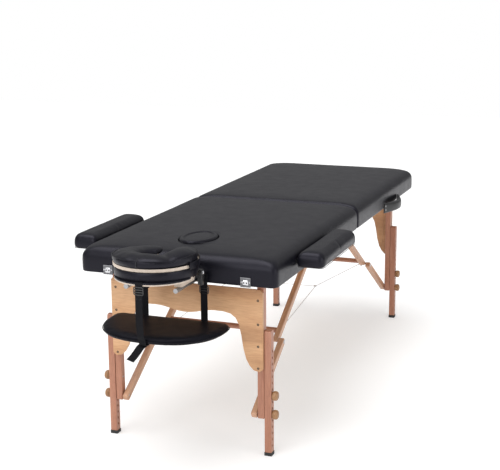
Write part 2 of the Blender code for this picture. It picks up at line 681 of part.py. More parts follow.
def make_lever():
    """Cam lever on the right of the headrest: a round hub with a flat finger tab hanging down."""
    outline = arc((LEVER_Y, LEVER_Z), LEVER_RADIUS, -20, 200, 12)
    outline += [(LEVER_Y - 0.007, LEVER_Z - LEVER_LENGTH), (LEVER_Y + 0.007, LEVER_Z - LEVER_LENGTH)]
    lever = prism("headrest_cam_lever", outline, "X", LEVER_X, BLACK_PLASTIC, pivot=(0, LEVER_Y, LEVER_Z))
    soften(lever, 0.0015)


def shelf_outline():
    """Half-moon: straight rear edge, round rear corners and an elliptical front."""
    radius = SHELF_CORNER_RADIUS
    centre_y = SHELF_REAR_Y - radius
    depth = centre_y - SHELF_FRONT_Y
    right = arc((SHELF_X + SHELF_HALF_WIDTH - radius, centre_y), radius, 90, 0)
    steps = 20
    front = []
    for i in range(1, steps):
        angle = math.pi * i / steps
        power = 0.82
        x = math.copysign(abs(math.cos(angle)) ** power, math.cos(angle))
        front.append((SHELF_X + SHELF_HALF_WIDTH * x, centre_y - depth * math.sin(angle) ** power))
    left = arc((SHELF_X - SHELF_HALF_WIDTH + radius, centre_y), radius, 180, 90)
    return right + front + left


def make_sling():
    shape = bmesh.new()
    ends = extrude(shape, shelf_outline(), "Z", *SHELF_Z)
    rims = list(ends[0].edges) + list(ends[1].edges)
    bmesh.ops.bevel(shape, geom=rims, offset=0.007, segments=2, profile=0.5, affect="EDGES")
    finish("arm_shelf", shape, VINYL, smooth=True)
    half = STRAP_WIDTH / 2
    run_z = (SHELF_Z[0] - FIT_GAP - STRAP_THICKNESS, SHELF_Z[0] - FIT_GAP)
    rear = (REAR_STRAP_Y, REAR_STRAP_Y + STRAP_THICKNESS)
    inner = REAR_STRAP_X - half
    outer = REAR_STRAP_X + half
    run = [(-outer, rear[1]), (-outer, REAR_STRAP_RUN_Y), (outer, REAR_STRAP_RUN_Y), (outer, rear[1])]
    run += [(inner, rear[1]), (inner, REAR_STRAP_RUN_Y + STRAP_WIDTH)]
    run += [(-inner, REAR_STRAP_RUN_Y + STRAP_WIDTH), (-inner, rear[1])]
    strap = prism("sling_strap_rear", run, "Z", run_z, WEBBING)
    for side_name, side in SIDES.items():
        x = ordered(side * inner, side * outer)
        low = (x[0], rear[0], run_z[0] + 0.0005)
        high = (x[1], rear[1], REAR_STRAP_TOP_Z)
        join(strap, box(f"add_{side_name}_strap_drop", low, high, None, helper=True))
    front = BASE_CENTRE[1] - BASE_RADIUS - FIT_GAP
    top = BASE_Z[1] + FIT_GAP
    outline = [(front - STRAP_THICKNESS, run_z[0]), (FRONT_STRAP_RUN_Y, run_z[0]), (FRONT_STRAP_RUN_Y, run_z[1])]
    lap = front + FRONT_STRAP_LAP
    outline += [(front, run_z[1]), (front, top), (lap, top), (lap, top + STRAP_THICKNESS)]
    outline += [(front - STRAP_THICKNESS, top + STRAP_THICKNESS)]
    prism("sling_strap_front", outline, "X", (-half, half), WEBBING)


def make_armrests():
    for side_name, side in SIDES.items():
        shift = -LEFT_PULLED_OUT if side < 0 else 0.0
        pad_x = ordered(side * ARMREST_X[0] + shift, side * ARMREST_X[1] + shift)
        radius = ARMREST_CORNER_RADIUS
        small = ARMREST_INNER_RADIUS
        outer = (radius, small, small, radius) if side < 0 else (small, radius, radius, small)
        pivot = (side * ARMREST_X[0] + shift, 0, PEG_Z)
        outline = rounded_rectangle((pad_x[0], ARMREST_Y[0]), (pad_x[1], ARMREST_Y[1]), outer)
        shape = bmesh.new()
        _, top = extrude(shape, outline, "Z", ARMREST_BOARD_Z[1] + FIT_GAP, ARMREST_TOP_Z)
        bmesh.ops.bevel(shape, geom=list(top.edges), offset=0.010, segments=1, affect="EDGES")
        finish(f"armrest_pad_{side_name}", shape, VINYL, pivot, smooth=True)
        inset = ARMREST_BOARD_INSET
        low = (pad_x[0] + inset, ARMREST_Y[0] + inset)
        high = (pad_x[1] - inset, ARMREST_Y[1] - inset)
        outline = rounded_rectangle(low, high, [max(r - inset, 0.002) for r in outer])
        board = prism(f"armrest_board_{side_name}", outline, "Z", ARMREST_BOARD_Z, EDGE_PLY, pivot)
        for number, y in enumerate(PEG_Y):
            span = ordered(side * PEG_TIP_X + shift, side * PEG_ROOT_X + shift)
            join(board, rod(f"add_{side_name}_peg_{number}", "X", (y, PEG_Z), PEG_RADIUS, span))


def make_latches():
    for side_name, side in SIDES.items():
        half = LATCH_WIDTH / 2
        low = (side * LATCH_X - half, LATCH_Y[0], LATCH_Z[0])
        high = (side * LATCH_X + half, LATCH_Y[1], LATCH_Z[1])
        pivot = (side * LATCH_X, sum(LATCH_Y) / 2, LATCH_Z[1] - 0.002)
        soften(box(f"latch_{side_name}", low, high, CHROME, pivot), 0.0008)


def make_handle():
    """Carry handle: a flat strap that bows out from the side rail between its two ends."""
    middle = sum(HANDLE_Y) / 2
    reach = (HANDLE_Y[1] - HANDLE_Y[0]) / 2
    base_x = HALF_WIDTH + HANDLE_SIDE_GAP
    steps = 12
    inner = []
    outer = []
    for i in range(steps + 1):
        share = -1 + 2 * i / steps
        bow = HANDLE_BULGE * wave(1 - abs(share)) ** 0.6
        y = middle + reach * share
        inner.append((base_x + bow, y))
        outer.append((base_x + bow + HANDLE_THICKNESS, y))
    pivot = (base_x, middle, HANDLE_Z[1])
    handle = prism("carry_handle", inner + outer[::-1], "Z", HANDLE_Z, BLACK_PLASTIC, pivot)
    soften(handle, 0.0015)


def centre_on_footprint():
    """Moves everything so that the middle of the visible pieces' footprint is at X = 0, Y = 0."""
    bpy.context.view_layer.update()
    low = Vector((math.inf, math.inf))
    high = Vector((-math.inf, -math.inf))
    for obj in bpy.data.objects:
        if obj.hide_render:
            continue
        for vert in obj.data.vertices:
            point = (obj.matrix_world @ vert.co).to_2d()
            low = Vector(map(min, low, point))
            high = Vector(map(max, high, point))
    shift = -(low + high) / 2
    for obj in bpy.data.objects:
        obj.location += Vector((shift.x, shift.y, 0))
    bpy.context.view_layer.update()


def build_table():
    make_plug()
    make_hinge()
    for end_name, end in ENDS.items():
        make_frame(end_name, end)
        make_deck(end_name, end)
        make_cushion(end_name, end)
        make_panel(end_name, end)
        make_crossbar(end_name, end)
        for side_name, side in SIDES.items():
            tag = f"{end_name}_{side_name}"
            make_post(tag, end, side)
            make_extension(tag, end, side)
            make_knobs(tag, end, side)
            make_braces(tag, end, side)
    make_cables()
    make_headrest()
    make_lever()
    make_sling()
    make_armrests()
    make_latches()
    make_handle()
    centre_on_footprint()


build_table()
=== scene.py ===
"""Looks of a portable folding massage table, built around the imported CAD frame.

Units are metres. at(x, y, z) takes a place measured from the tabletop's centre seam and gives it in the
row frame. The headrest is at -Y. Each make_ function builds one group of pieces and puts them on bodies.
"""

import math

import bmesh
import bpy
import numpy as np
from mathutils import Matrix, Vector, noise


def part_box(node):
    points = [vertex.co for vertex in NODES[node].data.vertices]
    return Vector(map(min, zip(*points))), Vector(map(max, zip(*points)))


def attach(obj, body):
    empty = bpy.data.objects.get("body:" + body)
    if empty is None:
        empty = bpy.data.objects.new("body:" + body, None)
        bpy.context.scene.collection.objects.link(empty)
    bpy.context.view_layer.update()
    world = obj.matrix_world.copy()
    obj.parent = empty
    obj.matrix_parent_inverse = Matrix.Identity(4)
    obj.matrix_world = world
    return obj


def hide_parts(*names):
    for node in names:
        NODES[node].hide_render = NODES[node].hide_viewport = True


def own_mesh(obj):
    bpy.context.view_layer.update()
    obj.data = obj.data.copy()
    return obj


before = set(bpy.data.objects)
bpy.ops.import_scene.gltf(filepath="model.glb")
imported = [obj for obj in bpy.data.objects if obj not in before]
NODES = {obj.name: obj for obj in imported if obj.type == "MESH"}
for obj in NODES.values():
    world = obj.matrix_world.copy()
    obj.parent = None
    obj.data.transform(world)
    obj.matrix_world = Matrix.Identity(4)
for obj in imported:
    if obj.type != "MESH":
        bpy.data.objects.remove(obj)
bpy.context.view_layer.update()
PIN_LOW, PIN_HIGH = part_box("hinge_pin")
SHIFT = Vector(((PIN_LOW.x + PIN_HIGH.x) / 2, (PIN_LOW.y + PIN_HIGH.y) / 2, 0))

ENDS = {"head": -1, "foot": 1}
SIDES = {"left": -1, "right": 1}
LEVELS = ("lower", "upper")

# Tabletop
HALF_WIDTH = 0.3555
HALF_LENGTH = 0.9625
SEAM = 0.0007
CORNER_RADIUS = 0.018
FACE_HOLE = (0.0, -0.765)
FACE_RADII = (0.065, 0.091)
# height, inset on the outer sides, inset on the seam side
COVER_PROFILE = (
    (0.6184, 0.0150, 0.0022),
    (0.6180, 0.0040, 0.0016),
    (0.6192, 0.0006, 0.0006),
    (0.6230, -0.0006, 0.0001),
    (0.6330, -0.0012, 0.0000),
    (0.6480, -0.0014, 0.0000),
    (0.6620, -0.0012, 0.0000),
    (0.6740, -0.0002, 0.0010),
    (0.6830, 0.0022, 0.0028),
    (0.6912, 0.0062, 0.0055),
    (0.6980, 0.0112, 0.0086),
    (0.7040, 0.0180, 0.0122),
    (0.7084, 0.0262, 0.0162),
    (0.7112, 0.0350, 0.0205),
    (0.7134, 0.0470, 0.0240),
    (0.7156, 0.0640, 0.0380),
    (0.7176, 0.0900, 0.0600),
    (0.7190, 0.1250, 0.0950),
)
CROWN_Z = 0.7199
INNER_RINGS = 22

# Legs and braces
LEG_Y = 0.866
KNOB_FACE_X = 0.3070
KNOB_Z = {"lower": 0.148, "upper": 0.2155}
KNOB_PROFILE = (
    (0.0000, 0.0000),
    (0.0000, 0.0100),
    (0.0008, 0.0128),
    (0.0026, 0.0143),
    (0.0042, 0.0149),
    (0.0052, 0.0160),
    (0.0075, 0.0165),
    (0.0125, 0.0164),
    (0.0160, 0.0155),
    (0.0185, 0.0133),
    (0.0199, 0.0098),
    (0.0205, 0.0055),
    (0.0205, 0.0000),
)
SOCKET_PROFILE = ((-0.001, 0.0042), (0.0002, 0.0042), (0.0002, 0.0030), (-0.0006, 0.0022), (-0.0006, 0))
CRIMP_PROFILE = ((0, 0), (0, 0.0022), (0.001, 0.0028), (0.011, 0.0028), (0.012, 0.0018), (0.012, 0))
BRACE_PIVOT = (0.070, 0.645)
LEG_PIVOT = (LEG_Y, 0.645)
LOWER_BOLT = (LEG_Y, KNOB_Z["lower"])
ELBOW = (0.5948, 0.3173)
BRACE_INNER_X = 0.2120
BRACE_OUTER_X = 0.2540
POST_INNER_X = 0.2570

# Headrest
RING_CENTRE = (-0.004, -1.104)
RING_RADIUS = 0.0935
RING_HALF_WIDTH = 0.0465
LEFT_ARM_DEGREES = 168
RIGHT_ARM_DEGREES = 156
CUSHION_BOTTOM = 0.7215
SPACER_CENTRE = (-0.002, -1.108)
SPACER_Z = (0.6806, 0.7099)
SHELF_X = 0.001
SHELF_HALF_WIDTH = 0.211
SHELF_REAR_Y = -0.984
SHELF_FRONT_Y = -1.226
SHELF_Z = (0.4725, 0.4975)

# Straps
STRAP_WIDTH = 0.025
STRAP_THICKNESS = 0.0018
REAR_STRAP_X = 0.108

# Armrests
ARMREST_X = (0.3585, 0.458)
ARMREST_Y = (-0.780, -0.368)
ARMREST_Z = (0.6466, 0.7050)
LEFT_PULLED_OUT = 0.037
PEG_Y = (-0.680, -0.500)
PEG_Z = 0.642

# Brightness of the studio surround at the horizon and overhead
SURROUND = (0.30, 0.80)


def at(x, y, z):
    return Vector((x, y, z)) + SHIFT


# ---------------------------------------------------------------- node materials


class Nodes:
    """A short way to add and join the nodes of one material."""

    def __init__(self, name, roughness=0.5, metallic=0.0):
        self.material = bpy.data.materials.new(name)
        self.material.use_nodes = True
        self.tree = self.material.node_tree
        self.shader = self.tree.nodes["Principled BSDF"]
        self.set("Roughness", roughness)
        self.set("Metallic", metallic)
        self.coords = self.add("ShaderNodeTexCoord").outputs["Object"]
        self.height = None

    def set(self, socket, value):
        self.shader.inputs[socket].default_value = value

    def add(self, kind, **settings):
        node = self.tree.nodes.new(kind)
        for key, value in settings.items():
            setattr(node, key, value)
        return node

    def link(self, source, target):
        self.tree.links.new(source, target)

    def mapped(self, scale=(1, 1, 1), rotation=(0, 0, 0), source=None):
        node = self.add("ShaderNodeMapping")
        node.inputs["Scale"].default_value = scale
        node.inputs["Rotation"].default_value = rotation
        self.link(source or self.coords, node.inputs["Vector"])
        return node.outputs["Vector"]

    def noise(self, scale, detail=3.0, roughness=0.5, vector=None, distortion=0.0):
        node = self.add("ShaderNodeTexNoise")
        node.inputs["Scale"].default_value = scale
        node.inputs["Detail"].default_value = detail
        node.inputs["Roughness"].default_value = roughness
        node.inputs["Distortion"].default_value = distortion
        self.link(vector or self.coords, node.inputs["Vector"])
        return node.outputs["Fac"]

    def cells(self, scale, feature="DISTANCE_TO_EDGE", vector=None):
        node = self.add("ShaderNodeTexVoronoi", feature=feature)
        node.inputs["Scale"].default_value = scale
        self.link(vector or self.coords, node.inputs["Vector"])
        return node.outputs["Distance"]

    def waves(self, scale, vector, direction="X", distortion=0.0, detail=0.0, detail_scale=1.0):
        node = self.add("ShaderNodeTexWave", wave_type="BANDS", bands_direction=direction)
        node.inputs["Scale"].default_value = scale
        node.inputs["Distortion"].default_value = distortion
        node.inputs["Detail"].default_value = detail
        node.inputs["Detail Scale"].default_value = detail_scale
        self.link(vector, node.inputs["Vector"])
        return node.outputs["Fac"]

    def ramp(self, factor, stops, interpolation="LINEAR"):
        node = self.add("ShaderNodeValToRGB")
        node.color_ramp.interpolation = interpolation
        elements = node.color_ramp.elements
        while len(elements) < len(stops):
            elements.new(0.5)
        for element, (place, colour) in zip(elements, stops):
            element.position = place
            element.color = (*colour, 1) if len(colour) == 3 else (colour[0],) * 3 + (1,)
        self.link(factor, node.inputs["Fac"])
        return node.outputs["Color"]

    def mix(self, factor, first, second, blend="MIX"):
        node = self.add("ShaderNodeMix", data_type="RGBA", blend_type=blend)
        self.plug(node.inputs[0], factor)
        self.plug(node.inputs[6], first)
        self.plug(node.inputs[7], second)
        return node.outputs[2]

    def math(self, operation, first, second=0.0):
        node = self.add("ShaderNodeMath", operation=operation)
        self.plug(node.inputs[0], first)
        self.plug(node.inputs[1], second)
        return node.outputs[0]

    def scaled(self, factor, low, high):
        node = self.add("ShaderNodeMapRange")
        node.inputs["To Min"].default_value = low
        node.inputs["To Max"].default_value = high
        self.link(factor, node.inputs["Value"])
        return node.outputs["Result"]

    def plug(self, socket, value):
        if isinstance(value, (int, float)):
            socket.default_value = value
        elif isinstance(value, tuple):
            socket.default_value = (*value, 1)
        else:
            self.link(value, socket)

    def bump(self, height, distance, strength=1.0):
        node = self.add("ShaderNodeBump")
        node.inputs["Strength"].default_value = strength
        node.inputs["Distance"].default_value = distance
        self.link(height, node.inputs["Height"])
        if self.height is not None:
            self.link(self.height, node.inputs["Normal"])
        self.height = node.outputs["Normal"]

    def colour(self, value):
        self.link(value, self.shader.inputs["Base Color"])

    def roughness(self, value):
        self.link(value, self.shader.inputs["Roughness"])

    def done(self):
        if self.height is not None:
            self.link(self.height, self.shader.inputs["Normal"])
        return self.material


def vinyl_look(name, tint, gloss, shine=0.25):
    """Upholstery vinyl: fine leather grain of small pebbles and creases, slightly uneven gloss."""
    look = Nodes(name, roughness=gloss)
    warp = look.mapped(scale=(1.0, 1.12, 1.0))
    pebbles = look.cells(620, vector=warp)
    fine = look.noise(1500, detail=2, vector=warp)
    pores = look.noise(340, detail=4, roughness=0.6)
    grain = look.math("ADD", look.math("MULTIPLY", pebbles, 1.6), look.math("MULTIPLY", fine, 0.35))
    look.bump(look.noise(9, detail=2), 0.0011, 0.30)
    look.bump(look.noise(55, detail=3), 0.0003, 0.35)
    look.bump(grain, 0.00022, 0.55)
    darker = tuple(c * 0.72 for c in tint)
    lighter = tuple(c * 1.35 for c in tint)
    shade = look.ramp(pores, ((0.30, darker), (0.70, lighter)))
    # painted shade: the borders between the pebbles, where the grain's creases are, get the darker tint
    look.colour(look.mix(look.scaled(pebbles, 0.0, 0.8), darker, shade))
    look.roughness(look.scaled(look.noise(26, detail=4), gloss - 0.06, gloss + 0.07))
    look.set("Specular IOR Level", shine)
    look.set("Specular Tint", (0.86, 0.84, 1.0, 1))
    return look.done()


def grain_vector(look, along, tilt=0.0):
    """Coordinates with the wood's grain running along X, squeezed so that its figure is long and thin."""
    turns = {"X": (0, 0, 0), "Y": (0, 0, -math.pi / 2), "Z": (0, math.pi / 2, 0)}
    turned = look.mapped(rotation=turns[along])
    if tilt:
        turned = look.mapped(rotation=(-tilt, 0, 0))
        turned = look.mapped(rotation=turns["Y"], source=turned)
    return turned, look.mapped(scale=(0.07, 1, 1), source=turned)


def wood_look(name, dark, middle, light, along, tilt=0.0, flecks=0.5, gloss=0.42, figure=34):
    """Lacquered beech: soft growth figure, fine fibre streaks and the short dark flecks of its rays."""
    look = Nodes(name, roughness=gloss)
    turned, squeezed = grain_vector(look, along, tilt)
    figure_noise = look.noise(figure, detail=5, roughness=0.55, vector=squeezed, distortion=0.6)
    fibres = look.noise(420, detail=3, roughness=0.6, vector=squeezed)
    base = look.ramp(figure_noise, ((0.28, dark), (0.50, middle), (0.72, light)))
    streaks = look.ramp(fibres, ((0.35, tuple(c * 0.80 for c in middle)), (0.62, (1, 1, 1))))
    base = look.mix(0.28, base, streaks, "MULTIPLY")
    ray_space = look.mapped(scale=(0.22, 1, 1), source=turned)
    rays = look.ramp(look.cells(330, feature="F1", vector=ray_space), ((0.10, (1,)), (0.22, (0,))))
    base = look.mix(look.math("MULTIPLY", rays, flecks), base, tuple(c * 0.55 for c in dark))
    stain = look.noise(5, detail=2)
    base = look.mix(look.scaled(stain, 0.0, 0.22), base, tuple(c * 0.75 for c in dark))
    look.colour(base)
    look.roughness(look.scaled(fibres, gloss - 0.07, gloss + 0.12))
    look.bump(fibres, 0.00012, 0.5)
    look.set("Coat Weight", 0.18)
    look.set("Coat Roughness", 0.22)
    return look.done()


def plywood_look(name, dark, middle, light, along, ply_axis, plies, gloss=0.5):
    """Plywood: rotary-cut veneer on the faces and stacked plies on the edges."""
    look = Nodes(name, roughness=gloss)
    squeezed = grain_vector(look, along)[1]
    bands = look.waves(5.5, squeezed, "Y", distortion=6.0, detail=3, detail_scale=1.6)
    fibres = look.noise(380, detail=3, roughness=0.6, vector=squeezed)
    cathedral = look.noise(11, detail=4, vector=squeezed, distortion=1.4)
    figure = look.math("ADD", look.math("MULTIPLY", bands, 0.35), look.math("MULTIPLY", cathedral, 0.65))
    face = look.ramp(figure, ((0.30, dark), (0.52, middle), (0.75, light)))
    streaks = look.ramp(fibres, ((0.34, tuple(c * 0.78 for c in middle)), (0.60, (1, 1, 1))))
    face = look.mix(0.30, face, streaks, "MULTIPLY")
    layers = look.waves(plies, look.coords, ply_axis, distortion=0.35, detail=2, detail_scale=30)
    edge = look.ramp(layers, ((0.35, tuple(c * 0.62 for c in dark)), (0.60, light)))
    edge = look.mix(0.35, edge, look.ramp(look.noise(900, detail=2), ((0.35, dark), (0.65, light))))
    normal = look.add("ShaderNodeTexCoord").outputs["Normal"]
    split = look.add("ShaderNodeSeparateXYZ")
    look.link(normal, split.inputs[0])
    facing = look.math("GREATER_THAN", look.math("ABSOLUTE", split.outputs[ply_axis]), 0.6)
    look.colour(look.mix(facing, edge, face))
    look.roughness(look.scaled(fibres, gloss - 0.08, gloss + 0.10))
    look.bump(fibres, 0.00012, 0.5)
    look.set("Coat Weight", 0.12)
    look.set("Coat Roughness", 0.28)
    return look.done()


def metal_look(name, tone, gloss, along, brushed=0.3):
    """Metal with fine drawing lines, faint smudges and a little wear."""
    look = Nodes(name, roughness=gloss, metallic=1.0)
    squeezed = grain_vector(look, along)[1]
    lines = look.noise(1400, detail=3, vector=squeezed)
    smudges = look.noise(60, detail=4, roughness=0.65)
    worn = tuple(c * 0.78 for c in tone)
    look.colour(look.ramp(smudges, ((0.30, worn), (0.62, tone))))
    mixed = look.math("ADD", look.math("MULTIPLY", lines, 0.4), look.math("MULTIPLY", smudges, 0.6))
    look.roughness(look.scaled(mixed, max(gloss - 0.08, 0.04), gloss + 0.14))
    look.bump(lines, 0.00003, brushed)
    return look.done()


def plastic_look(name, tone, gloss, texture=900, depth=0.00006):
    """Moulded plastic or rubber with a fine spark-eroded texture."""
    look = Nodes(name, roughness=gloss)
    speckle = look.noise(texture, detail=3)
    cloud = look.noise(40, detail=4)
    darker = tuple(c * 0.75 for c in tone)
    lighter = tuple(c * 1.3 for c in tone)
    look.colour(look.ramp(cloud, ((0.30, darker), (0.70, lighter))))
    look.roughness(look.scaled(cloud, gloss - 0.06, gloss + 0.08))
    look.bump(speckle, depth, 0.7)
    return look.done()


def webbing_look(name, tone):
    """Woven polypropylene webbing: a herringbone of ribs, with painted sheen on their tops and painted shade
    between them.
    """
    look = Nodes(name, roughness=0.62)
    first = look.waves(170, look.mapped(rotation=(0, 0, math.radians(38))), "DIAGONAL")
    second = look.waves(150, look.coords, "DIAGONAL")
    weave = look.math("MAXIMUM", first, look.math("MULTIPLY", second, 0.8))
    darker = tuple(c * 0.4 for c in tone)
    lighter = tuple(c * 2.2 for c in tone)
    # painted sheen and shade: the rib tops are coloured lighter and the hollows between them darker
    look.colour(look.ramp(weave, ((0.20, darker), (0.85, lighter))))
    look.bump(weave, 0.0004, 0.9)
    look.roughness(look.scaled(look.noise(700), 0.55, 0.75))
    look.set("Specular IOR Level", 0.10)
    return look.done()


BRACE_TILT = math.atan2(BRACE_PIVOT[1] - LOWER_BOLT[1], LOWER_BOLT[0] - BRACE_PIVOT[0])
BEECH_RED = ((0.33, 0.130, 0.074), (0.43, 0.188, 0.112), (0.52, 0.252, 0.160))
BEECH_PALE = ((0.47, 0.248, 0.142), (0.60, 0.345, 0.215), (0.70, 0.445, 0.295))
BIRCH = ((0.54, 0.43, 0.34), (0.68, 0.565, 0.46), (0.77, 0.665, 0.565))
TURNED = ((0.26, 0.125, 0.050), (0.37, 0.190, 0.082), (0.46, 0.260, 0.125))
DECK = ((0.44, 0.31, 0.19), (0.56, 0.43, 0.29), (0.66, 0.53, 0.38))
PANEL = ((0.47, 0.250, 0.120), (0.60, 0.340, 0.172), (0.70, 0.425, 0.232))

LOOKS = {
    "vinyl": vinyl_look("black_vinyl_grained", (0.0066, 0.0064, 0.0100), 0.34),
    "shelf_vinyl": vinyl_look("shelf_vinyl_grained", (0.0052, 0.0052, 0.0080), 0.42, 0.10),
    "post": wood_look("beech_post", *BEECH_RED, along="Z"),
    "crossbar": wood_look("beech_crossbar", *BEECH_RED, along="X"),
    "rail": wood_look("beech_rail", *BEECH_PALE, along="Y"),
    "brace_head": wood_look("beech_brace_head", *BEECH_PALE, along="Y", tilt=BRACE_TILT),
    "brace_foot": wood_look("beech_brace_foot", *BEECH_PALE, along="Y", tilt=-BRACE_TILT),
    "knob": wood_look("turned_wood", *TURNED, along="Z", figure=90),
    "panel": plywood_look("panel_plywood", *PANEL, along="X", ply_axis="Y", plies=160),
    "deck": plywood_look("deck_plywood", *DECK, along="Y", ply_axis="Z", plies=190),
    "plate": plywood_look("plate_plywood", *BIRCH, along="X", ply_axis="Z", plies=190),
    "chrome": metal_look("chrome", (0.66, 0.66, 0.68), 0.16, "X"),
    "catch": metal_look("catch_plate", (0.17, 0.17, 0.18), 0.26, "X"),
    "steel": metal_look("steel", (0.58, 0.58, 0.60), 0.30, "X"),
    "dark_steel": metal_look("blackened_steel", (0.060, 0.058, 0.056), 0.42, "X"),
    "aluminium": metal_look("aluminium", (0.42, 0.42, 0.43), 0.30, "Y", 0.5),
    "cable": metal_look("wire_rope", (0.80, 0.80, 0.80), 0.42, "Y"),
    "plastic": plastic_look("black_plastic", (0.018, 0.018, 0.019), 0.36),
    "rubber": plastic_look("black_rubber", (0.020, 0.020, 0.020), 0.72, 500, 0.00012),
    "webbing": webbing_look("black_webbing", (0.0042, 0.0042, 0.0054)),
    "thread": plastic_look("black_thread", (0.030, 0.030, 0.034), 0.65, 2500, 0.0001),
}


def dress_frame():
    """Gives every CAD node that stays in view its detailed material."""
    for name, node in NODES.items():
        look = None
        end = "head" if "head" in name else "foot"
        if name.startswith(("leg_post", "leg_extension")):
            look = "post"
        elif name.startswith("crossbar"):
            look = "crossbar"
        elif name.startswith(("upper_brace", "lower_brace")):
            look = f"brace_{end}"
        elif name.endswith("_frame"):
            look = "rail"
        elif name.endswith("_deck"):
            look = "deck"
        elif name.startswith("end_panel"):
            look = "panel"
        elif name in ("headrest_base_plate", "headrest_platform"):
            look = "plate"
        elif name.startswith("rubber_foot"):
            look = "rubber"
        elif name.startswith("hinge_"):
            look = "steel"
        elif name.startswith("headrest_rod"):
            look = "aluminium"
        elif name.startswith("latch_"):
            look = "catch"
        elif name == "headrest_cam_lever":
            look = "plastic"
        if look:
            for slot in node.material_slots:
                slot.material = LOOKS[look]


# ---------------------------------------------------------------- mesh helpers


def make(name, shape, look, smooth=True, sharp=40):
    """Turns a bmesh into an object of the scene with one material."""
    bmesh.ops.recalc_face_normals(shape, faces=shape.faces)
    mesh = bpy.data.meshes.new(name)
    shape.to_mesh(mesh)
    shape.free()
    if smooth:
        mesh.shade_smooth()
        mesh.set_sharp_from_angle(angle=math.radians(sharp))
    mesh.materials.append(LOOKS[look])
    obj = bpy.data.objects.new(name, mesh)
    bpy.context.scene.collection.objects.link(obj)
    return obj


def bridge(shape, rings, closed=True):
    """Quads between neighbouring rings of vertices."""
    for first, second in zip(rings, rings[1:]):
        count = len(first)
        for i in range(count if closed else count - 1):
            j = (i + 1) % count
            shape.faces.new((first[i], first[j], second[j], second[i]))


def cap(shape, ring):
    shape.faces.new(ring)


def loft(shape, rings):
    """A closed solid through rings of vertices."""
    bridge(shape, rings)
    cap(shape, rings[0][::-1])
    cap(shape, rings[-1])


def put(obj, body, stands_for=None):
    """Puts a piece on its body, in place of the CAD solid that it stands for."""
    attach(obj, body)
    if stands_for:
        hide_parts(stands_for)


def lathe(shape, origin, axis, profile, sides=28):
    """Adds a turned solid: profile is (distance along the axis, radius) from one end to the other."""
    axis = Vector(axis).normalized()
    helper = Vector((0, 0, 1)) if abs(axis.z) < 0.9 else Vector((1, 0, 0))
    across = axis.cross(helper).normalized()
    upward = axis.cross(across)
    rings = []
    for along, radius in profile:
        centre = origin + axis * along
        if radius <= 0:
            rings.append([shape.verts.new(centre)])
            continue
        rings.append([shape.verts.new(centre + a * across + b * upward) for a, b in circle(radius, sides)])
    for first, second in zip(rings, rings[1:]):
        if len(first) == 1 and len(second) == 1:
            continue
        for k in range(sides):
            n = (k + 1) % sides
            if len(first) == 1:
                shape.faces.new((first[0], second[n], second[k]))
            elif len(second) == 1:
                shape.faces.new((first[k], first[n], second[0]))
            else:
                shape.faces.new((first[k], first[n], second[n], second[k]))


def sweep(shape, points, section, up=Vector((0, 0, 1)), closed=False):
    """Adds a solid with one flat section carried along a path. section is (across, up) pairs."""
    rings = []
    count = len(points)
    for i, point in enumerate(points):
        before = points[(i - 1) % count] if closed else points[max(i - 1, 0)]
        after = points[(i + 1) % count] if closed else points[min(i + 1, count - 1)]
        ahead = (after - before).normalized()
        across = ahead.cross(up).normalized()
        lift = across.cross(ahead)
        rings.append([shape.verts.new(point + across * a + lift * b) for a, b in section])
    if closed:
        bridge(shape, rings + rings[:1])
    else:
        loft(shape, rings)


def arc(centre, radius, start_deg, end_deg, steps):
    angles = [math.radians(start_deg + (end_deg - start_deg) * i / steps) for i in range(steps + 1)]
    return [(centre[0] + radius * math.cos(a), centre[1] + radius * math.sin(a)) for a in angles]


def oval(centre, radii, sides):
    """Points round an ellipse."""
    turns = [2 * math.pi * k / sides for k in range(sides)]
    return [(centre[0] + radii[0] * math.cos(t), centre[1] + radii[1] * math.sin(t)) for t in turns]


def circle(radius, sides=12):
    return oval((0, 0), (radius, radius), sides)


def even(points, count):
    """The same closed outline with its points evenly spaced, starting at its first point."""
    loop = np.array(list(points) + [points[0]], float)
    along = np.concatenate([[0], np.cumsum(np.linalg.norm(np.diff(loop, axis=0), axis=1))])
    places = np.linspace(0, along[-1], count + 1)[:-1]
    return [(float(np.interp(s, along, loop[:, 0])), float(np.interp(s, along, loop[:, 1]))) for s in places]


def rounded(low, high, radii, steps=6):
    """Rounded rectangle: radii for low-low, high-low, high-high and low-high corners."""
    corners = (
        ((low[0], low[1]), (1, 1), 180, radii[0]),
        ((high[0], low[1]), (-1, 1), 270, radii[1]),
        ((high[0], high[1]), (-1, -1), 0, radii[2]),
        ((low[0], high[1]), (1, -1), 90, radii[3]),
    )
    points = []
    for corner, inward, start, radius in corners:
        centre = (corner[0] + inward[0] * radius, corner[1] + inward[1] * radius)
        points += arc(centre, radius, start, start + 90, steps)
    return points


def ripple(point, size, amount):
    """A small smooth offset for cloth that isn't perfectly even."""
    return amount * noise.noise(Vector(point) / size)


# ---------------------------------------------------------------- padded pieces


def half_ring(end, inset, seam_inset, rounding):
    """Outline of one half of the top. Its corners get rounder as it goes in."""
    seam = SEAM + seam_inset
    outer = HALF_LENGTH - inset
    wide = HALF_WIDTH - inset
    big = max(CORNER_RADIUS - inset, 0.006) + rounding
    small = max(0.010 - inset, 0.004) + rounding * 0.35
    low_y, high_y = sorted((end * seam, end * outer))
    radii = (big, big, small, small) if end < 0 else (small, small, big, big)
    return rounded((-wide, low_y), (wide, high_y), radii, 8)


def smooth_profile(profile, per_span=2):
    """More rings between the given ones, on a smooth curve through them."""
    points = [Vector(p) for p in profile]
    made = []
    for i in range(len(points) - 1):
        before = points[max(i - 1, 0)]
        after = points[min(i + 2, len(points) - 1)]
        for step in range(per_span):
            t = step / per_span
            a, b = points[i], points[i + 1]
            tangent_a = (b - before) / 2
            tangent_b = (after - a) / 2
            h = (2 * t**3 - 3 * t**2 + 1, t**3 - 2 * t**2 + t, -2 * t**3 + 3 * t**2, t**3 - t**2)
            made.append(h[0] * a + h[1] * tangent_a + h[2] * b + h[3] * tangent_b)
    made.append(points[-1])
    return made


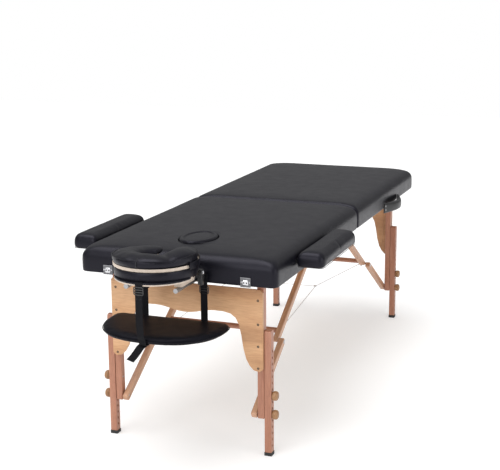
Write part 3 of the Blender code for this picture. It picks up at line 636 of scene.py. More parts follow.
def make_top_cover(end_name, end):
    """Vinyl cover of one half: tucked under the rail, up its side, over the rolled edge and the crown."""
    count = 288
    shape = bmesh.new()
    rings = []
    for z, inset, seam_inset in smooth_profile(COVER_PROFILE):
        outline = even(half_ring(end, inset, seam_inset, 2.0 * min(max(inset, 0), 0.04)), count)
        ring = []
        for x, y in outline:
            lift = ripple((x, y, z), 0.11, 0.0007) if z > 0.70 else 0.0
            ring.append(shape.verts.new(at(x, y, z + lift)))
        rings.append(ring)
    last = [v.co - SHIFT for v in rings[-1]]
    if end < 0:
        centre, radii = FACE_HOLE, (FACE_RADII[0] + 0.004, FACE_RADII[1] + 0.004)
    else:
        centre, radii = (0.0, end * HALF_LENGTH / 2), (0.003, 0.003)
    for step in range(1, INNER_RINGS + 1):
        share = step / INNER_RINGS
        ring = []
        for point in last:
            angle = math.atan2((point.y - centre[1]) / radii[1], (point.x - centre[0]) / radii[0])
            x = point.x + (centre[0] + radii[0] * math.cos(angle) - point.x) * share
            y = point.y + (centre[1] + radii[1] * math.sin(angle) - point.y) * share
            rise = CROWN_Z + (point.z - CROWN_Z) * (1 - share) ** 2
            ring.append(shape.verts.new(at(x, y, rise + ripple((x, y, 0), 0.16, 0.0006))))
        rings.append(ring)
    if end < 0:
        for shrink, z in ((0.0022, 0.7190), (0.0008, 0.7168), (0.0002, 0.7100), (0.0, 0.6900), (0.0, 0.6684)):
            ring = []
            for k in range(count):
                outer = rings[-1][k].co - SHIFT
                angle = math.atan2((outer.y - centre[1]) / radii[1], (outer.x - centre[0]) / radii[0])
                x = centre[0] + (FACE_RADII[0] + shrink) * math.cos(angle)
                y = centre[1] + (FACE_RADII[1] + shrink) * math.sin(angle)
                ring.append(shape.verts.new(at(x, y, z)))
            rings.append(ring)
    else:
        cap(shape, rings[-1])
    bridge(shape, rings)
    cover = make(f"{end_name}_top_cover", shape, "vinyl", sharp=70)
    put(cover, f"{end_name}_half", f"{end_name}_cushion")


def pad_object(name, outline, rings, count, look="vinyl"):
    """A closed pad from rings of (z, inset along the outline's normal)."""
    loop = even(outline, count)
    normals = []
    for i in range(count):
        a, b = Vector(loop[i - 1]), Vector(loop[(i + 1) % count])
        direction = (b - a).normalized()
        normals.append(Vector((-direction.y, direction.x)))
    shape = bmesh.new()
    levels = []
    for z, inset in rings:
        moved = [(p[0] + n.x * inset, p[1] + n.y * inset) for p, n in zip(loop, normals)]
        levels.append([shape.verts.new(at(x, y, z)) for x, y in moved])
    loft(shape, levels)
    return make(name, shape, look)


def ring_pad(name, levels, count):
    """A closed pad through outlines, each at its own height."""
    shape = bmesh.new()
    rings = [[shape.verts.new(at(x, y, z)) for x, y in even(outline, count)] for z, outline in levels]
    loft(shape, rings)
    return make(name, shape, "vinyl")


def inflate(obj, voxel, pressure, cap_distance, frames=16):
    """Swells a pad with a short cloth simulation, so that it gets the soft fullness of upholstery."""
    scene = bpy.context.scene
    for other in bpy.context.selected_objects:
        other.select_set(False)
    bpy.context.view_layer.objects.active = obj
    remesh = obj.modifiers.new("remesh", "REMESH")
    remesh.mode = "VOXEL"
    remesh.voxel_size = voxel
    remesh.use_smooth_shade = True
    apply_modifiers(obj)
    rest = np.array([v.co for v in obj.data.vertices], float)
    cloth = obj.modifiers.new("cloth", "CLOTH")
    cloth.settings.use_pressure = True
    cloth.settings.uniform_pressure_force = pressure
    cloth.settings.quality = 5
    cloth.settings.mass = 0.3
    cloth.settings.tension_stiffness = 18
    cloth.settings.compression_stiffness = 18
    cloth.settings.bending_stiffness = 0.6
    cloth.settings.effector_weights.gravity = 0
    cloth.collision_settings.use_collision = False
    for number in range(1, frames + 1):
        scene.frame_set(number)
    graph = bpy.context.evaluated_depsgraph_get()
    mesh = bpy.data.meshes.new_from_object(obj.evaluated_get(graph))
    moved = np.array([v.co for v in mesh.vertices], float)
    step = moved - rest
    length = np.maximum(np.linalg.norm(step, axis=1, keepdims=True), 1e-9)
    moved = rest + step * np.minimum(1.0, cap_distance / length)
    mesh.vertices.foreach_set("co", moved.astype(np.float32).ravel())
    mesh.update()
    obj.modifiers.clear()
    old = obj.data
    obj.data = mesh
    bpy.data.meshes.remove(old)
    scene.frame_set(1)
    smooth = obj.modifiers.new("smooth", "SMOOTH")
    smooth.factor = 0.5
    smooth.iterations = 4
    subdivide = obj.modifiers.new("subdivide", "SUBSURF")
    subdivide.levels = subdivide.render_levels = 1
    apply_modifiers(obj)
    obj.data.shade_smooth()


def apply_modifiers(obj):
    graph = bpy.context.evaluated_depsgraph_get()
    mesh = bpy.data.meshes.new_from_object(obj.evaluated_get(graph))
    old = obj.data
    obj.modifiers.clear()
    obj.data = mesh
    bpy.data.meshes.remove(old)


def clamp_to(obj, low, high):
    """Keeps a swollen pad inside the room it has."""
    for vert in obj.data.vertices:
        for axis in range(3):
            vert.co[axis] = min(max(vert.co[axis], low[axis]), high[axis])


def welt(name, points, radius, body, look="vinyl", closed=True):
    """A sewn welt or piping cord along a seam."""
    shape = bmesh.new()
    sweep(shape, points, circle(radius, 10), closed=closed)
    cord = make(name, shape, look)
    put(cord, body)
    return cord


def make_face_plug():
    """Oval plug in the face opening: a raised rolled rim round a slightly sunken middle."""
    count = 96
    shape = bmesh.new()
    rings = []
    profile = (
        (0.6682, 1.5), (0.6900, 1.6), (0.7120, 1.6), (0.7190, 2.2), (0.7228, 4.0), (0.7256, 7.0),
        (0.7268, 11.0), (0.7262, 15.0), (0.7240, 18.0), (0.7232, 19.5), (0.7238, 21.5), (0.7248, 27.0),
        (0.7254, 36.0), (0.7257, 47.0), (0.7258, 56.0),
    )
    for z, inset_mm in profile:
        inset = inset_mm / 1000
        ring = []
        for cosine, sine in circle(1, count):
            stretch = 1 + 0.018 * abs(sine) ** 6 if inset > 0.003 else 1
            x = (FACE_RADII[0] - inset) * cosine
            y = (FACE_RADII[1] - inset) * sine * stretch
            ring.append(shape.verts.new(at(x, FACE_HOLE[1] + y, z)))
        rings.append(ring)
    loft(shape, rings)
    plug = make("face_plug_pad", shape, "vinyl", sharp=80)
    put(plug, "face_plug", "face_hole_plug")
    seam_radii = [radius - 0.0190 for radius in FACE_RADII]
    seam = [at(x, y, 0.7234) for x, y in oval(FACE_HOLE, seam_radii, 72)]
    welt("face_plug_seam", seam, 0.0011, "face_plug")


def horseshoe_place(share):
    """(outward direction, distance from the centre, half width) at a share of the face cushion's horseshoe.

    The share runs from -1 at the left arm's end to 1 at the right arm's end.
    """
    angle = math.radians(270 + share * (LEFT_ARM_DEGREES if share < 0 else RIGHT_ARM_DEGREES))
    narrow = max(0.0, (abs(share) - 0.60) / 0.40) ** 1.5
    outward = Vector((math.cos(angle), math.sin(angle), 0))
    return outward, RING_RADIUS - 0.0010 * narrow, RING_HALF_WIDTH - 0.0150 * narrow


def cushion_height(share):
    """Height of the face cushion at a share of its horseshoe, counted as in horseshoe_place."""
    places = (-1.00, -0.75, -0.45, -0.15, 0.10, 0.22, 0.29, 0.36, 0.50, 0.70, 0.90, 1.00)
    heights = (0.0190, 0.0210, 0.0285, 0.0350, 0.0360, 0.0335, 0.0285, 0.0375, 0.0425, 0.0370, 0.0280, 0.0220)
    return float(np.interp(share, places, heights))


def make_head_cushion():
    """Horseshoe face cushion: low upright sides, a domed puckered top with a dip, and a fuller right arm."""
    steps = 120
    # how far the cover of the right arm hangs over the edge of the platform
    deepest = 0.0165
    section = smooth_profile(
        (
            (0.930, 0.000), (0.985, 0.120), (1.000, 0.350), (0.995, 0.560), (0.965, 0.690),
            (0.900, 0.765), (0.740, 0.875), (0.420, 0.985), (0.100, 1.020), (-0.250, 0.985),
            (-0.600, 0.850), (-0.860, 0.600), (-0.985, 0.300), (-0.990, 0.080), (-0.940, 0.000),
        ),
        3,
    )
    shape = bmesh.new()
    rings = []
    for i in range(steps + 1):
        share = 2 * i / steps - 1
        outward, middle, wide = horseshoe_place(share)
        x, y = RING_CENTRE[0] + outward.x * middle, RING_CENTRE[1] + outward.y * middle
        tip = min(1.0, (1 - abs(share)) / 0.06)
        round_end = math.sqrt(max(0.03, 1 - (1 - tip) ** 2))
        height = cushion_height(share) * (0.60 + 0.40 * round_end)
        half = wide * round_end
        pucker = 0.0009 * math.sin(share * 46) + ripple((share * 3, 0, 0), 0.3, 0.0016)
        drop = deepest * min(1.0, max(0.0, (share - 0.47) / 0.03))
        ring = []
        for a, b in section:
            lower = drop * max(0.0, 1 - b / 0.25) if a > 0.9 else 0.0
            half_here = half + 0.0022 * lower / deepest
            wrinkle = pucker * max(0.0, b - 0.3) * (1 if a > 0 else 0.4)
            spot = Vector((x, y, CUSHION_BOTTOM + height * b + wrinkle - lower)) + outward * (half_here * a)
            ring.append(shape.verts.new(at(*spot)))
        rings.append(ring)
    loft(shape, rings)
    cushion = make("headrest_face_cushion", shape, "vinyl", sharp=80)
    inflate(cushion, 0.0045, 3.5, 0.0035)
    clamp_to(cushion, at(-0.160, -1.262, 0.7058), at(0.160, -0.9795, 0.7715))
    put(cushion, "headrest_top", "headrest_cushion")
    outline = ring_outline(RING_CENTRE, 0.1340, 0.0450, -1.0115, 0.030)
    layers = ((0.7211, 0.0010), (0.7214, 0.0), (0.7221, 0.0), (0.7223, 0.0010))
    lining = pad_object("headrest_lining", outline, layers, 260)
    put(lining, "headrest_top")
    seam = []
    for i in range(91):
        share = -0.92 + 1.84 * i / 90
        outward, middle, wide = horseshoe_place(share)
        height = CUSHION_BOTTOM + cushion_height(share) * 0.715
        seam.append(at(*(Vector((*RING_CENTRE, height)) + outward * (middle + wide * 0.965))))
    welt("headrest_cushion_welt", seam, 0.0014, "headrest_top", closed=False)
    shape = bmesh.new()
    for share in (0.0, -0.42):
        outward, middle, wide = horseshoe_place(share)
        middle_spot = Vector((*RING_CENTRE, CUSHION_BOTTOM)) + outward * middle
        height = cushion_height(share)
        over = [outward * ((wide + 0.0003) * a) + Vector((0, 0, height * b)) for a, b in section[2:30]]
        points = [at(*(middle_spot + step)) for step in over]
        sweep(shape, points, circle(0.0009, 8), up=outward.cross(Vector((0, 0, 1))))
    stitched = make("headrest_panel_seams", shape, "thread")
    put(stitched, "headrest_top")


def ring_outline(centre, radius, hole, rear_y, throat, steps=40):
    outer_end = math.degrees(math.asin((rear_y - centre[1]) / radius))
    inner_end = math.degrees(math.acos(throat / hole))
    points = arc(centre, radius, 180 - outer_end, 360 + outer_end, steps)
    points.append((centre[0] + throat, rear_y))
    points += arc(centre, hole, 360 + inner_end, 180 - inner_end, steps)
    points.append((centre[0] - throat, rear_y))
    return points


def make_spacer():
    """Black padded ring between the plywood plates. Its cover reaches a little below the lower plate's top."""
    outline = ring_outline(SPACER_CENTRE, 0.1335, 0.0590, -1.0115, 0.038)
    low, high = SPACER_Z
    rings = (
        (low - 0.0060, 0.0030), (low - 0.0055, 0.0012), (low - 0.0020, 0.0002),
        (low + 0.0010, 0.0000), (low + 0.0040, -0.0004), (low + 0.0100, -0.0010),
        (low + 0.0146, -0.0012), (low + 0.0195, -0.0010), (high - 0.0040, -0.0004),
        (high - 0.0010, 0.0008), (high, 0.0030),
    )
    pad = pad_object("headrest_spacer", outline, rings, 260)
    put(pad, "headrest_base", "headrest_spacer_pad")


def make_edge_wraps():
    """Vinyl over the plates' edges: round the platform's right end, and down the base plate's upper plies."""
    shape = bmesh.new()
    section = rounded((-0.0010, -0.0110), (0.0010, 0.0110), (0.0009,) * 4, 3)
    line = arc(RING_CENTRE, 0.1420, -16, 46, 32)
    sweep(shape, [at(x, y, 0.7185) for x, y in line], section)
    wrap = make("platform_edge_wrap", shape, "vinyl")
    put(wrap, "headrest_top")
    low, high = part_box("headrest_base_plate")
    radius = (high.x - low.x) / 2
    centre = ((low.x + high.x) / 2, low.y + radius)
    shape = bmesh.new()
    section = rounded((-0.0006, -0.0022), (0.0006, 0.0022), (0.0005,) * 4, 3)
    line = arc(centre, radius + 0.0004, 184, 356, 72)
    sweep(shape, [Vector((x, y, high.z - 0.0018)) for x, y in line], section)
    section = rounded((-0.0085, -0.0005), (0.0085, 0.0005), (0.0004,) * 4, 3)
    line = arc(centre, radius - 0.0078, 184, 356, 72)
    sweep(shape, [Vector((x, y, high.z + 0.0004)) for x, y in line], section)
    wrap = make("base_plate_edge_wrap", shape, "vinyl")
    put(wrap, "headrest_base")


def shelf_outline():
    radius = 0.034
    centre_y = SHELF_REAR_Y - radius
    depth = centre_y - SHELF_FRONT_Y
    right = arc((SHELF_X + SHELF_HALF_WIDTH - radius, centre_y), radius, 90, 0, 8)
    front = []
    steps = 60
    for i in range(1, steps):
        angle = math.pi * i / steps
        power = 0.82
        x = math.copysign(abs(math.cos(angle)) ** power, math.cos(angle))
        front.append((SHELF_X + SHELF_HALF_WIDTH * x, centre_y - depth * math.sin(angle) ** power))
    left = arc((SHELF_X - SHELF_HALF_WIDTH + radius, centre_y), radius, 180, 90, 8)
    return right + front + left


def make_shelf():
    """Padded half-moon arm shelf with a piped edge."""
    low, high = SHELF_Z
    profile = (
        (low + 0.0006, 0.0200), (low + 0.0002, 0.0080), (low + 0.0030, 0.0026), (low + 0.0080, 0.0006),
        (low + 0.0125, 0.0002), (low + 0.0170, 0.0008), (low + 0.0205, 0.0036), (high - 0.0026, 0.0085),
        (high - 0.0014, 0.0160), (high - 0.0007, 0.0280), (high - 0.0003, 0.0450),
    )
    outline = shelf_outline()[::-1]
    pad = pad_object("arm_shelf_pad", outline, profile, 240, look="shelf_vinyl")
    inflate(pad, 0.0050, 2.0, 0.0016)
    clamp_to(pad, at(-0.212, -1.2275, low - 0.0001), at(0.214, -0.982, high + 0.001))
    put(pad, "headrest_base", "arm_shelf")
    edge = [at(x, y, low + 0.0122) for x, y in even(outline, 160)]
    welt("arm_shelf_piping", edge, 0.0013, "headrest_base", look="shelf_vinyl")


def make_armrest(side_name, side):
    """Side armrest: a board wrapped all round in vinyl over foam, carried on two steel pegs."""
    shift = -LEFT_PULLED_OUT if side < 0 else 0.0
    x = sorted((side * ARMREST_X[0] + shift, side * ARMREST_X[1] + shift))
    big, small = 0.022, 0.012
    radii = (big, small, small, big) if side < 0 else (small, big, big, small)
    low, high = ARMREST_Z
    profile = (
        (low + 0.0004, 0.0160), (low, 0.0070), (low + 0.0016, 0.0030), (low + 0.0060, 0.0014),
        (low + 0.0140, 0.0012), (low + 0.0240, 0.0016), (low + 0.0330, 0.0030), (low + 0.0410, 0.0062),
        (low + 0.0470, 0.0110), (low + 0.0512, 0.0175), (low + 0.0535, 0.0250), (low + 0.0546, 0.0340),
    )
    levels = []
    for z, inset in profile:
        most = 0.46 * (x[1] - x[0] - 2 * inset)
        softer = [min(max(r - inset, 0.004) + 0.55 * inset, most) for r in radii]
        corners = ((x[0] + inset, ARMREST_Y[0] + inset), (x[1] - inset, ARMREST_Y[1] - inset))
        levels.append((z, rounded(*corners, softer, 8)))
    outline = levels[4][1]
    pad = ring_pad(f"armrest_cushion_{side_name}", levels, 200)
    inflate(pad, 0.0050, 3.0, 0.0022)
    clamp_to(pad, at(x[0], ARMREST_Y[0], low - 0.0001), at(x[1], ARMREST_Y[1], high + 0.0006))
    put(pad, f"armrest_{side_name}", f"armrest_pad_{side_name}")
    seam = [at(px, py, low + 0.0018) for px, py in even(inset_outline(outline, 0.0034), 150)]
    welt(f"armrest_seam_{side_name}", seam, 0.0010, f"armrest_{side_name}")
    shape = bmesh.new()
    peg = (
        (0, 0), (0, 0.0042), (0.0016, 0.0058), (0.0030, 0.0060),
        (0.1035, 0.0060), (0.1050, 0.0050), (0.1050, 0),
    )
    screw = ((0, 0.0045), (0.0012, 0.0040), (0.0018, 0.0018), (0.0018, 0))
    for y in PEG_Y:
        start = at(side * 0.3085 + shift, y, PEG_Z)
        lathe(shape, start, (side, 0, 0), peg)
        plate = at(side * 0.366 + shift, y, 0.6456)
        for offset in (0.000, 0.030):
            lathe(shape, plate + Vector((side * offset, 0.012, 0)), (0, 0, -1), screw, 16)
    pegs = make(f"armrest_pegs_{side_name}", shape, "chrome")
    put(pegs, f"armrest_{side_name}", f"armrest_board_{side_name}")


def inset_outline(outline, distance):
    """The closed outline moved inward by a distance."""
    count = len(outline)
    area = sum(outline[i - 1][0] * outline[i][1] - outline[i][0] * outline[i - 1][1] for i in range(count))
    turn = 1 if area > 0 else -1
    moved = []
    for i in range(count):
        a, b = Vector(outline[i - 1]), Vector(outline[(i + 1) % count])
        direction = (b - a).normalized()
        normal = Vector((-direction.y, direction.x)) * turn
        moved.append((outline[i][0] + normal.x * distance, outline[i][1] + normal.y * distance))
    return moved


# ---------------------------------------------------------------- straps


def strap_section():
    half, edge = STRAP_WIDTH / 2, STRAP_THICKNESS / 2
    shoulder = half - 0.0006
    left = [(-shoulder, -edge), (-half, 0), (-shoulder, edge), (-half / 3, edge * 0.8), (half / 3, edge * 0.8)]
    return left + [(-a, -b) for a, b in left]


def band(shape, points, side_axis):
    """Adds flat webbing along a path: its width stays along side_axis and its thickness follows the path."""
    rings = []
    wide = Vector(side_axis).normalized()
    for i, point in enumerate(points):
        before = points[max(i - 1, 0)]
        after = points[min(i + 1, len(points) - 1)]
        ahead = (after - before).normalized()
        normal = wide.cross(ahead).normalized()
        rings.append([shape.verts.new(point + wide * a + normal * b) for a, b in strap_section()])
    loft(shape, rings)


def path(*points, per=10):
    """A smooth path through the given points, each run split into short steps."""
    spots = [Vector(p) for p in points]
    made = []
    for i in range(len(spots) - 1):
        before = spots[max(i - 1, 0)]
        after = spots[min(i + 2, len(spots) - 1)]
        a, b = spots[i], spots[i + 1]
        for step in range(per):
            t = step / per
            tangent_a, tangent_b = (b - before) * 0.25, (after - a) * 0.25
            h = (2 * t**3 - 3 * t**2 + 1, t**3 - 2 * t**2 + t, -2 * t**3 + 3 * t**2, t**3 - t**2)
            made.append(h[0] * a + h[1] * tangent_a + h[2] * b + h[3] * tangent_b)
    made.append(spots[-1])
    return [at(*p) for p in made]


def buckle(shape, centre):
    """Adds a ladder-lock buckle facing -Y: a rounded frame with two cross bars."""
    wide, up = Vector((1, 0, 0)), Vector((0, 0, 1))
    half_width, half_height = 0.0155, 0.0120
    outline = rounded((-half_width, -half_height), (half_width, half_height), (0.004,) * 4, 4)
    normal = wide.cross(up)
    sweep(shape, [centre + wide * a + up * b for a, b in outline], circle(0.0019, 8), up=normal, closed=True)
    for level in (-0.0035, 0.0045):
        bar = [centre + wide * s + up * level + normal * 0.0012 for s in (-half_width, 0, half_width)]
        sweep(shape, bar, circle(0.0019, 8), up=normal)


def make_straps():
    """Webbing that hangs the arm shelf from the headrest plate."""
    low = SHELF_Z[0]
    run_z = low - 0.0013
    shape = bmesh.new()
    for side in (-1, 1):
        x = side * REAR_STRAP_X
        drop = path((x, -0.9770, 0.6520), (x, -0.9768, 0.5800), (x, -0.9768, 0.5000),
                    (x, -0.9772, low + 0.0040), (x, -0.9800, run_z + 0.0003), (x, -0.9900, run_z),
                    (x, -1.0280, run_z))
        band(shape, drop, (1, 0, 0))
    ends = path((-0.1205, -1.0275, run_z), (0, -1.0275, run_z), (0.1205, -1.0275, run_z))
    band(shape, ends, (0, 1, 0))
    rear = make("shelf_strap_rear", shape, "webbing")
    put(rear, "headrest_base", "sling_strap_rear")
    shape = bmesh.new()
    front_y = -1.2546
    main = path((0.008, -1.2430, 0.6815), (0.008, -1.2520, 0.6812), (0.008, front_y, 0.6760),
                (0.008, front_y, 0.6500), (0.006, front_y + 0.0030, 0.5600), (0.004, front_y + 0.0120, 0.5060),
                (0.004, -1.2330, 0.4900), (0.004, -1.2300, 0.4780), (0.004, -1.2250, run_z),
                (0.004, -1.2100, run_z), (0.004, -1.1900, run_z))
    band(shape, main, (1, 0, 0))
    front = make("shelf_strap_front", shape, "webbing")
    put(front, "headrest_base", "sling_strap_front")
    shape = bmesh.new()
    tail = path((0.0000, -1.1980, run_z - 0.0020), (-0.0010, -1.2180, run_z - 0.0026),
                (-0.0050, -1.2290, 0.4640), (-0.0140, -1.2340, 0.4490), (-0.0250, -1.2350, 0.4340),
                (-0.0390, -1.2350, 0.4180), per=8)
    band(shape, tail, (0.93, 0.12, -0.34))
    loose = make("shelf_strap_tail", shape, "webbing")
    put(loose, "headrest_base")
    shape = bmesh.new()
    buckle(shape, at(0.008, front_y - 0.0014, 0.6560))
    for side in (-1, 1):
        buckle(shape, at(side * REAR_STRAP_X, -0.9758, 0.5980))
    made = make("strap_buckles", shape, "plastic")
    put(made, "headrest_base")


def make_strap_stitching():
    """Box stitches where the webbing is sewn."""
    shape = bmesh.new()
    wide, up = Vector((1, 0, 0)), Vector((0, 0, 1))
    normal = wide.cross(up)
    half, count = 0.009, 7
    for spot in ((0.008, -1.2562, 0.6380), (REAR_STRAP_X, -0.9760, 0.6300), (-REAR_STRAP_X, -0.9760, 0.6300)):
        centre = at(*spot)
        corners = [centre + (wide * a + up * b) * half for a, b in ((-1, -1), (1, -1), (1, 1), (-1, 1))]
        for a, b in ((0, 1), (1, 2), (2, 3), (3, 0), (0, 2), (1, 3)):
            for k in range(count):
                start = corners[a].lerp(corners[b], (k + 0.15) / count)
                stop = corners[a].lerp(corners[b], (k + 0.80) / count)
                stitch = [start, (start + stop) / 2 - normal * 0.0002, stop]
                sweep(shape, stitch, circle(0.00035, 6), up=normal)
    made = make("strap_stitching", shape, "thread")
    put(made, "headrest_base")


# ---------------------------------------------------------------- hardware


def make_knobs():
    """Turned wooden hand knobs with their bolts."""
    for end_name, end in ENDS.items():
        for side_name, side in SIDES.items():
            for level in LEVELS:
                tag = f"{level}_{end_name}_{side_name}"
                origin = at(side * KNOB_FACE_X, end * LEG_Y, KNOB_Z[level])
                shape = bmesh.new()
                lathe(shape, origin, (side, 0, 0), KNOB_PROFILE, 40)
                knob = make(f"hand_knob_{tag}", shape, "knob", sharp=60)
                body = f"knob_{tag}_turn"
                put(knob, body, f"knob_{tag}")
                shape = bmesh.new()
                tip = 0.0725 if level == "lower" else 0.0495
                shank = ((-0.002, 0), (-0.002, 0.0038), (tip - 0.001, 0.0038), (tip, 0.0028), (tip, 0))
                lathe(shape, origin, (-side, 0, 0), shank, 16)
                face = origin + Vector((side * 0.0203, 0, 0))
                lathe(shape, face, (side, 0, 0), SOCKET_PROFILE, 20)
                bolt = make(f"knob_bolt_{tag}", shape, "steel", sharp=50)
                put(bolt, body)


def dome(shape, place, axis, radius=0.0060, washer=0.0085):
    """A washer and a low domed bolt head standing on a face."""
    ring = ((0, washer), (0.0009, washer), (0.0012, washer - 0.0006), (0.0012, radius))
    # distance along the axis, share of the radius
    head = (
        (0.0010, 1), (0.0022, 0.97), (0.0034, 0.80), (0.0041, 0.50),
        (0.0042, 0.34), (0.0026, 0.30), (0.0026, 0),
    )
    lathe(shape, place, axis, ring, 24)
    lathe(shape, place, axis, [(along, radius * share) for along, share in head], 24)


def make_bolts():
    """Pivot bolts of the braces and legs, and the flat nuts outside the elbows."""
    bolts = (
        ("elbow_bolts", BRACE_INNER_X, ELBOW, 0.0060, 0.0085, "upper_brace"),
        ("brace_pivot_bolts", BRACE_INNER_X, BRACE_PIVOT, 0.0050, 0.0072, "upper_brace"),
        ("leg_pivot_bolts", POST_INNER_X, LEG_PIVOT, 0.0050, 0.0072, "legs"),
    )
    nut = ((0, 0.0078), (0.0007, 0.0078), (0.0011, 0.0068), (0.0016, 0.0044), (0.0018, 0))
    for end_name, end in ENDS.items():
        for name, x, (y, z), radius, washer, body in bolts:
            shape = bmesh.new()
            for side in SIDES.values():
                dome(shape, at(side * x, end * y, z), (-side, 0, 0), radius, washer)
            made = make(f"{name}_{end_name}", shape, "steel", sharp=50)
            put(made, f"{end_name}_{body}")
        shape = bmesh.new()
        for side in SIDES.values():
            lathe(shape, at(side * BRACE_OUTER_X, end * ELBOW[0], ELBOW[1]), (side, 0, 0), nut, 24)
        made = make(f"elbow_nuts_{end_name}", shape, "steel", sharp=50)
        put(made, f"{end_name}_lower_brace")


def countersunk(shape, place, axis, radius=0.0042):
    """A countersunk screw head with its driver recess, flush with the face."""
    rim = ((-0.0004, radius + 0.0003), (0.0003, radius), (0.0005, radius * 0.8))
    profile = rim + ((0.0005, radius * 0.42), (-0.0006, radius * 0.25), (-0.0006, 0))
    lathe(shape, place, axis, profile, 20)


def make_screws():
    """Screws that fix the end panels and the hinge."""
    for end_name, end in ENDS.items():
        shape = bmesh.new()
        for x in (-0.264, 0.264):
            for z in (0.551, 0.468, 0.391, 0.314):
                countersunk(shape, at(x, end * 0.8893, z), (0, end, 0))
        made = make(f"panel_screws_{end_name}", shape, "dark_steel", sharp=50)
        put(made, f"{end_name}_legs")
        shape = bmesh.new()
        for k in range(12):
            x = -0.300 + 0.600 * k / 11
            countersunk(shape, at(x, end * 0.0175, 0.6171), (0, 0, -1), 0.0030)
        made = make(f"hinge_screws_{end_name}", shape, "steel", sharp=50)
        put(made, f"{end_name}_half")


def make_rail_fittings():
    """Grommets where rods and pegs go through the cover, and the armrest lock screw under the rail."""
    shape = bmesh.new()
    collar = ((0, 0.0086), (0, 0.0118), (0.0012, 0.0124), (0.0020, 0.0112), (0.0020, 0.0088), (0, 0.0086))
    for side in (-1, 1):
        lathe(shape, at(side * 0.087, -HALF_LENGTH - 0.0006, 0.637), (0, -1, 0), collar, 28)
    small = ((0, 0.0066), (0, 0.0090), (0.0008, 0.0095), (0.0014, 0.0086), (0.0014, 0.0068), (0, 0.0066))
    for y in PEG_Y:
        lathe(shape, at(HALF_WIDTH + 0.0006, y, PEG_Z), (1, 0, 0), small, 24)
        lathe(shape, at(-HALF_WIDTH - 0.0006, y, PEG_Z), (-1, 0, 0), small, 24)
    made = make("rod_grommets", shape, "plastic", sharp=50)
    put(made, "head_half")
    shape = bmesh.new()
    profile = (
        (-0.0020, 0.0095), (0.0001, 0.0090), (0.0004, 0.0078),
        (0.0004, 0.0045), (-0.0004, 0.0040), (-0.0004, 0),
    )
    for side in (-1, 1):
        lathe(shape, at(side * 0.340, -0.800, 0.6178), (0, 0, -1), profile, 18)
    made = make("armrest_lock_screws", shape, "plastic", sharp=35)
    put(made, "head_half")


def make_latch_details():
    """Raised hook plate, two black discs as painted shade of recesses, and rivets on each latch."""
    for side_name, side in SIDES.items():
        shape, recess_shade = bmesh.new(), bmesh.new()
        x = side * 0.250
        outline = rounded((x - 0.0105, 0.6220), (x + 0.0105, 0.6400), (0.004,) * 4, 4)
        levels = []
        for y, inset in ((-0.9678, 0.0), (-0.9690, 0.0003), (-0.9697, 0.0012), (-0.9699, 0.0030)):
            levels.append([shape.verts.new(at(p[0], y, p[1])) for p in inset_outline(outline, inset)])
        bridge(shape, levels)
        cap(shape, levels[-1])
        cap(shape, levels[0][::-1])
        # painted shade: thin black plastic discs on the plate stand for the two shaded recesses
        for offset in (-0.0052, 0.0052):
            recess = ((0, 0.0026), (0.0005, 0.0026), (0.0005, 0))
            lathe(recess_shade, at(x + offset, -0.9697, 0.6310), (0, -1, 0), recess, 16)
        for offset in (-0.0142, 0.0142):
            rivet = ((0, 0.0026), (0.0008, 0.0024), (0.0014, 0.0014), (0.0015, 0))
            lathe(shape, at(x + offset, -0.9678, 0.6320), (0, -1, 0), rivet, 16)
        made = make(f"latch_hook_{side_name}", shape, "chrome", sharp=50)
        put(made, f"latch_{side_name}_turn")
        made = make(f"latch_recess_shade_{side_name}", recess_shade, "plastic", sharp=50)
        put(made, f"latch_{side_name}_turn")


def make_handle():
    """Moulded carry handle: a soft rounded strap bowed out from the side, with flat screwed ends."""
    middle, reach = 0.5325, 0.1225
    base = HALF_WIDTH + 0.0020
    steps = 48
    rings = []
    shape = bmesh.new()
    for i in range(steps + 1):
        share = -1 + 2 * i / steps
        bow = 0.029 * (0.5 - 0.5 * math.cos(math.pi * (1 - abs(share)))) ** 0.6
        grip = (0.5 + 0.5 * math.cos(math.pi * share)) ** 0.6
        height = 0.0215 - 0.0010 * grip
        thick = 0.0034 + 0.0090 * grip
        centre = at(base + bow + 0.0035, middle + reach * share, 0.6215)
        ring = []
        for k in range(20):
            turn = 2 * math.pi * k / 20
            c, s = math.cos(turn), math.sin(turn)
            a = thick * math.copysign(abs(c) ** 0.7, c)
            b = height * math.copysign(abs(s) ** 0.6, s)
            ring.append(shape.verts.new(centre + Vector((a, 0, b))))
        rings.append(ring)
    loft(shape, rings)
    handle = make("carry_handle_grip", shape, "plastic", sharp=60)
    put(handle, "handle", "carry_handle")
    shape = bmesh.new()
    for share in (-0.93, 0.93):
        bow = 0.029 * (0.5 - 0.5 * math.cos(math.pi * (1 - abs(share)))) ** 0.6
        for z in (0.6150, 0.6310):
            place = at(base + bow + 0.0061, middle + reach * share, z)
            lathe(shape, place, (1, 0, 0), ((0, 0.0042), (0.0009, 0.0040), (0.0016, 0.0026), (0.0017, 0)), 18)
    made = make("handle_screws", shape, "chrome", sharp=50)
    put(made, "handle")


def make_lever_details():
    """Chromed pivot screw and spring washer of the headrest's cam lever."""
    shape = bmesh.new()
    dome(shape, at(0.1180, -1.006, 0.664), (1, 0, 0), 0.0052, 0.0080)
    lathe(shape, at(0.1000, -1.006, 0.664), (-1, 0, 0), ((-0.001, 0.0030), (0.020, 0.0030), (0.020, 0)), 14)
    made = make("cam_lever_screw", shape, "chrome", sharp=50)
    put(made, "headrest_lever")


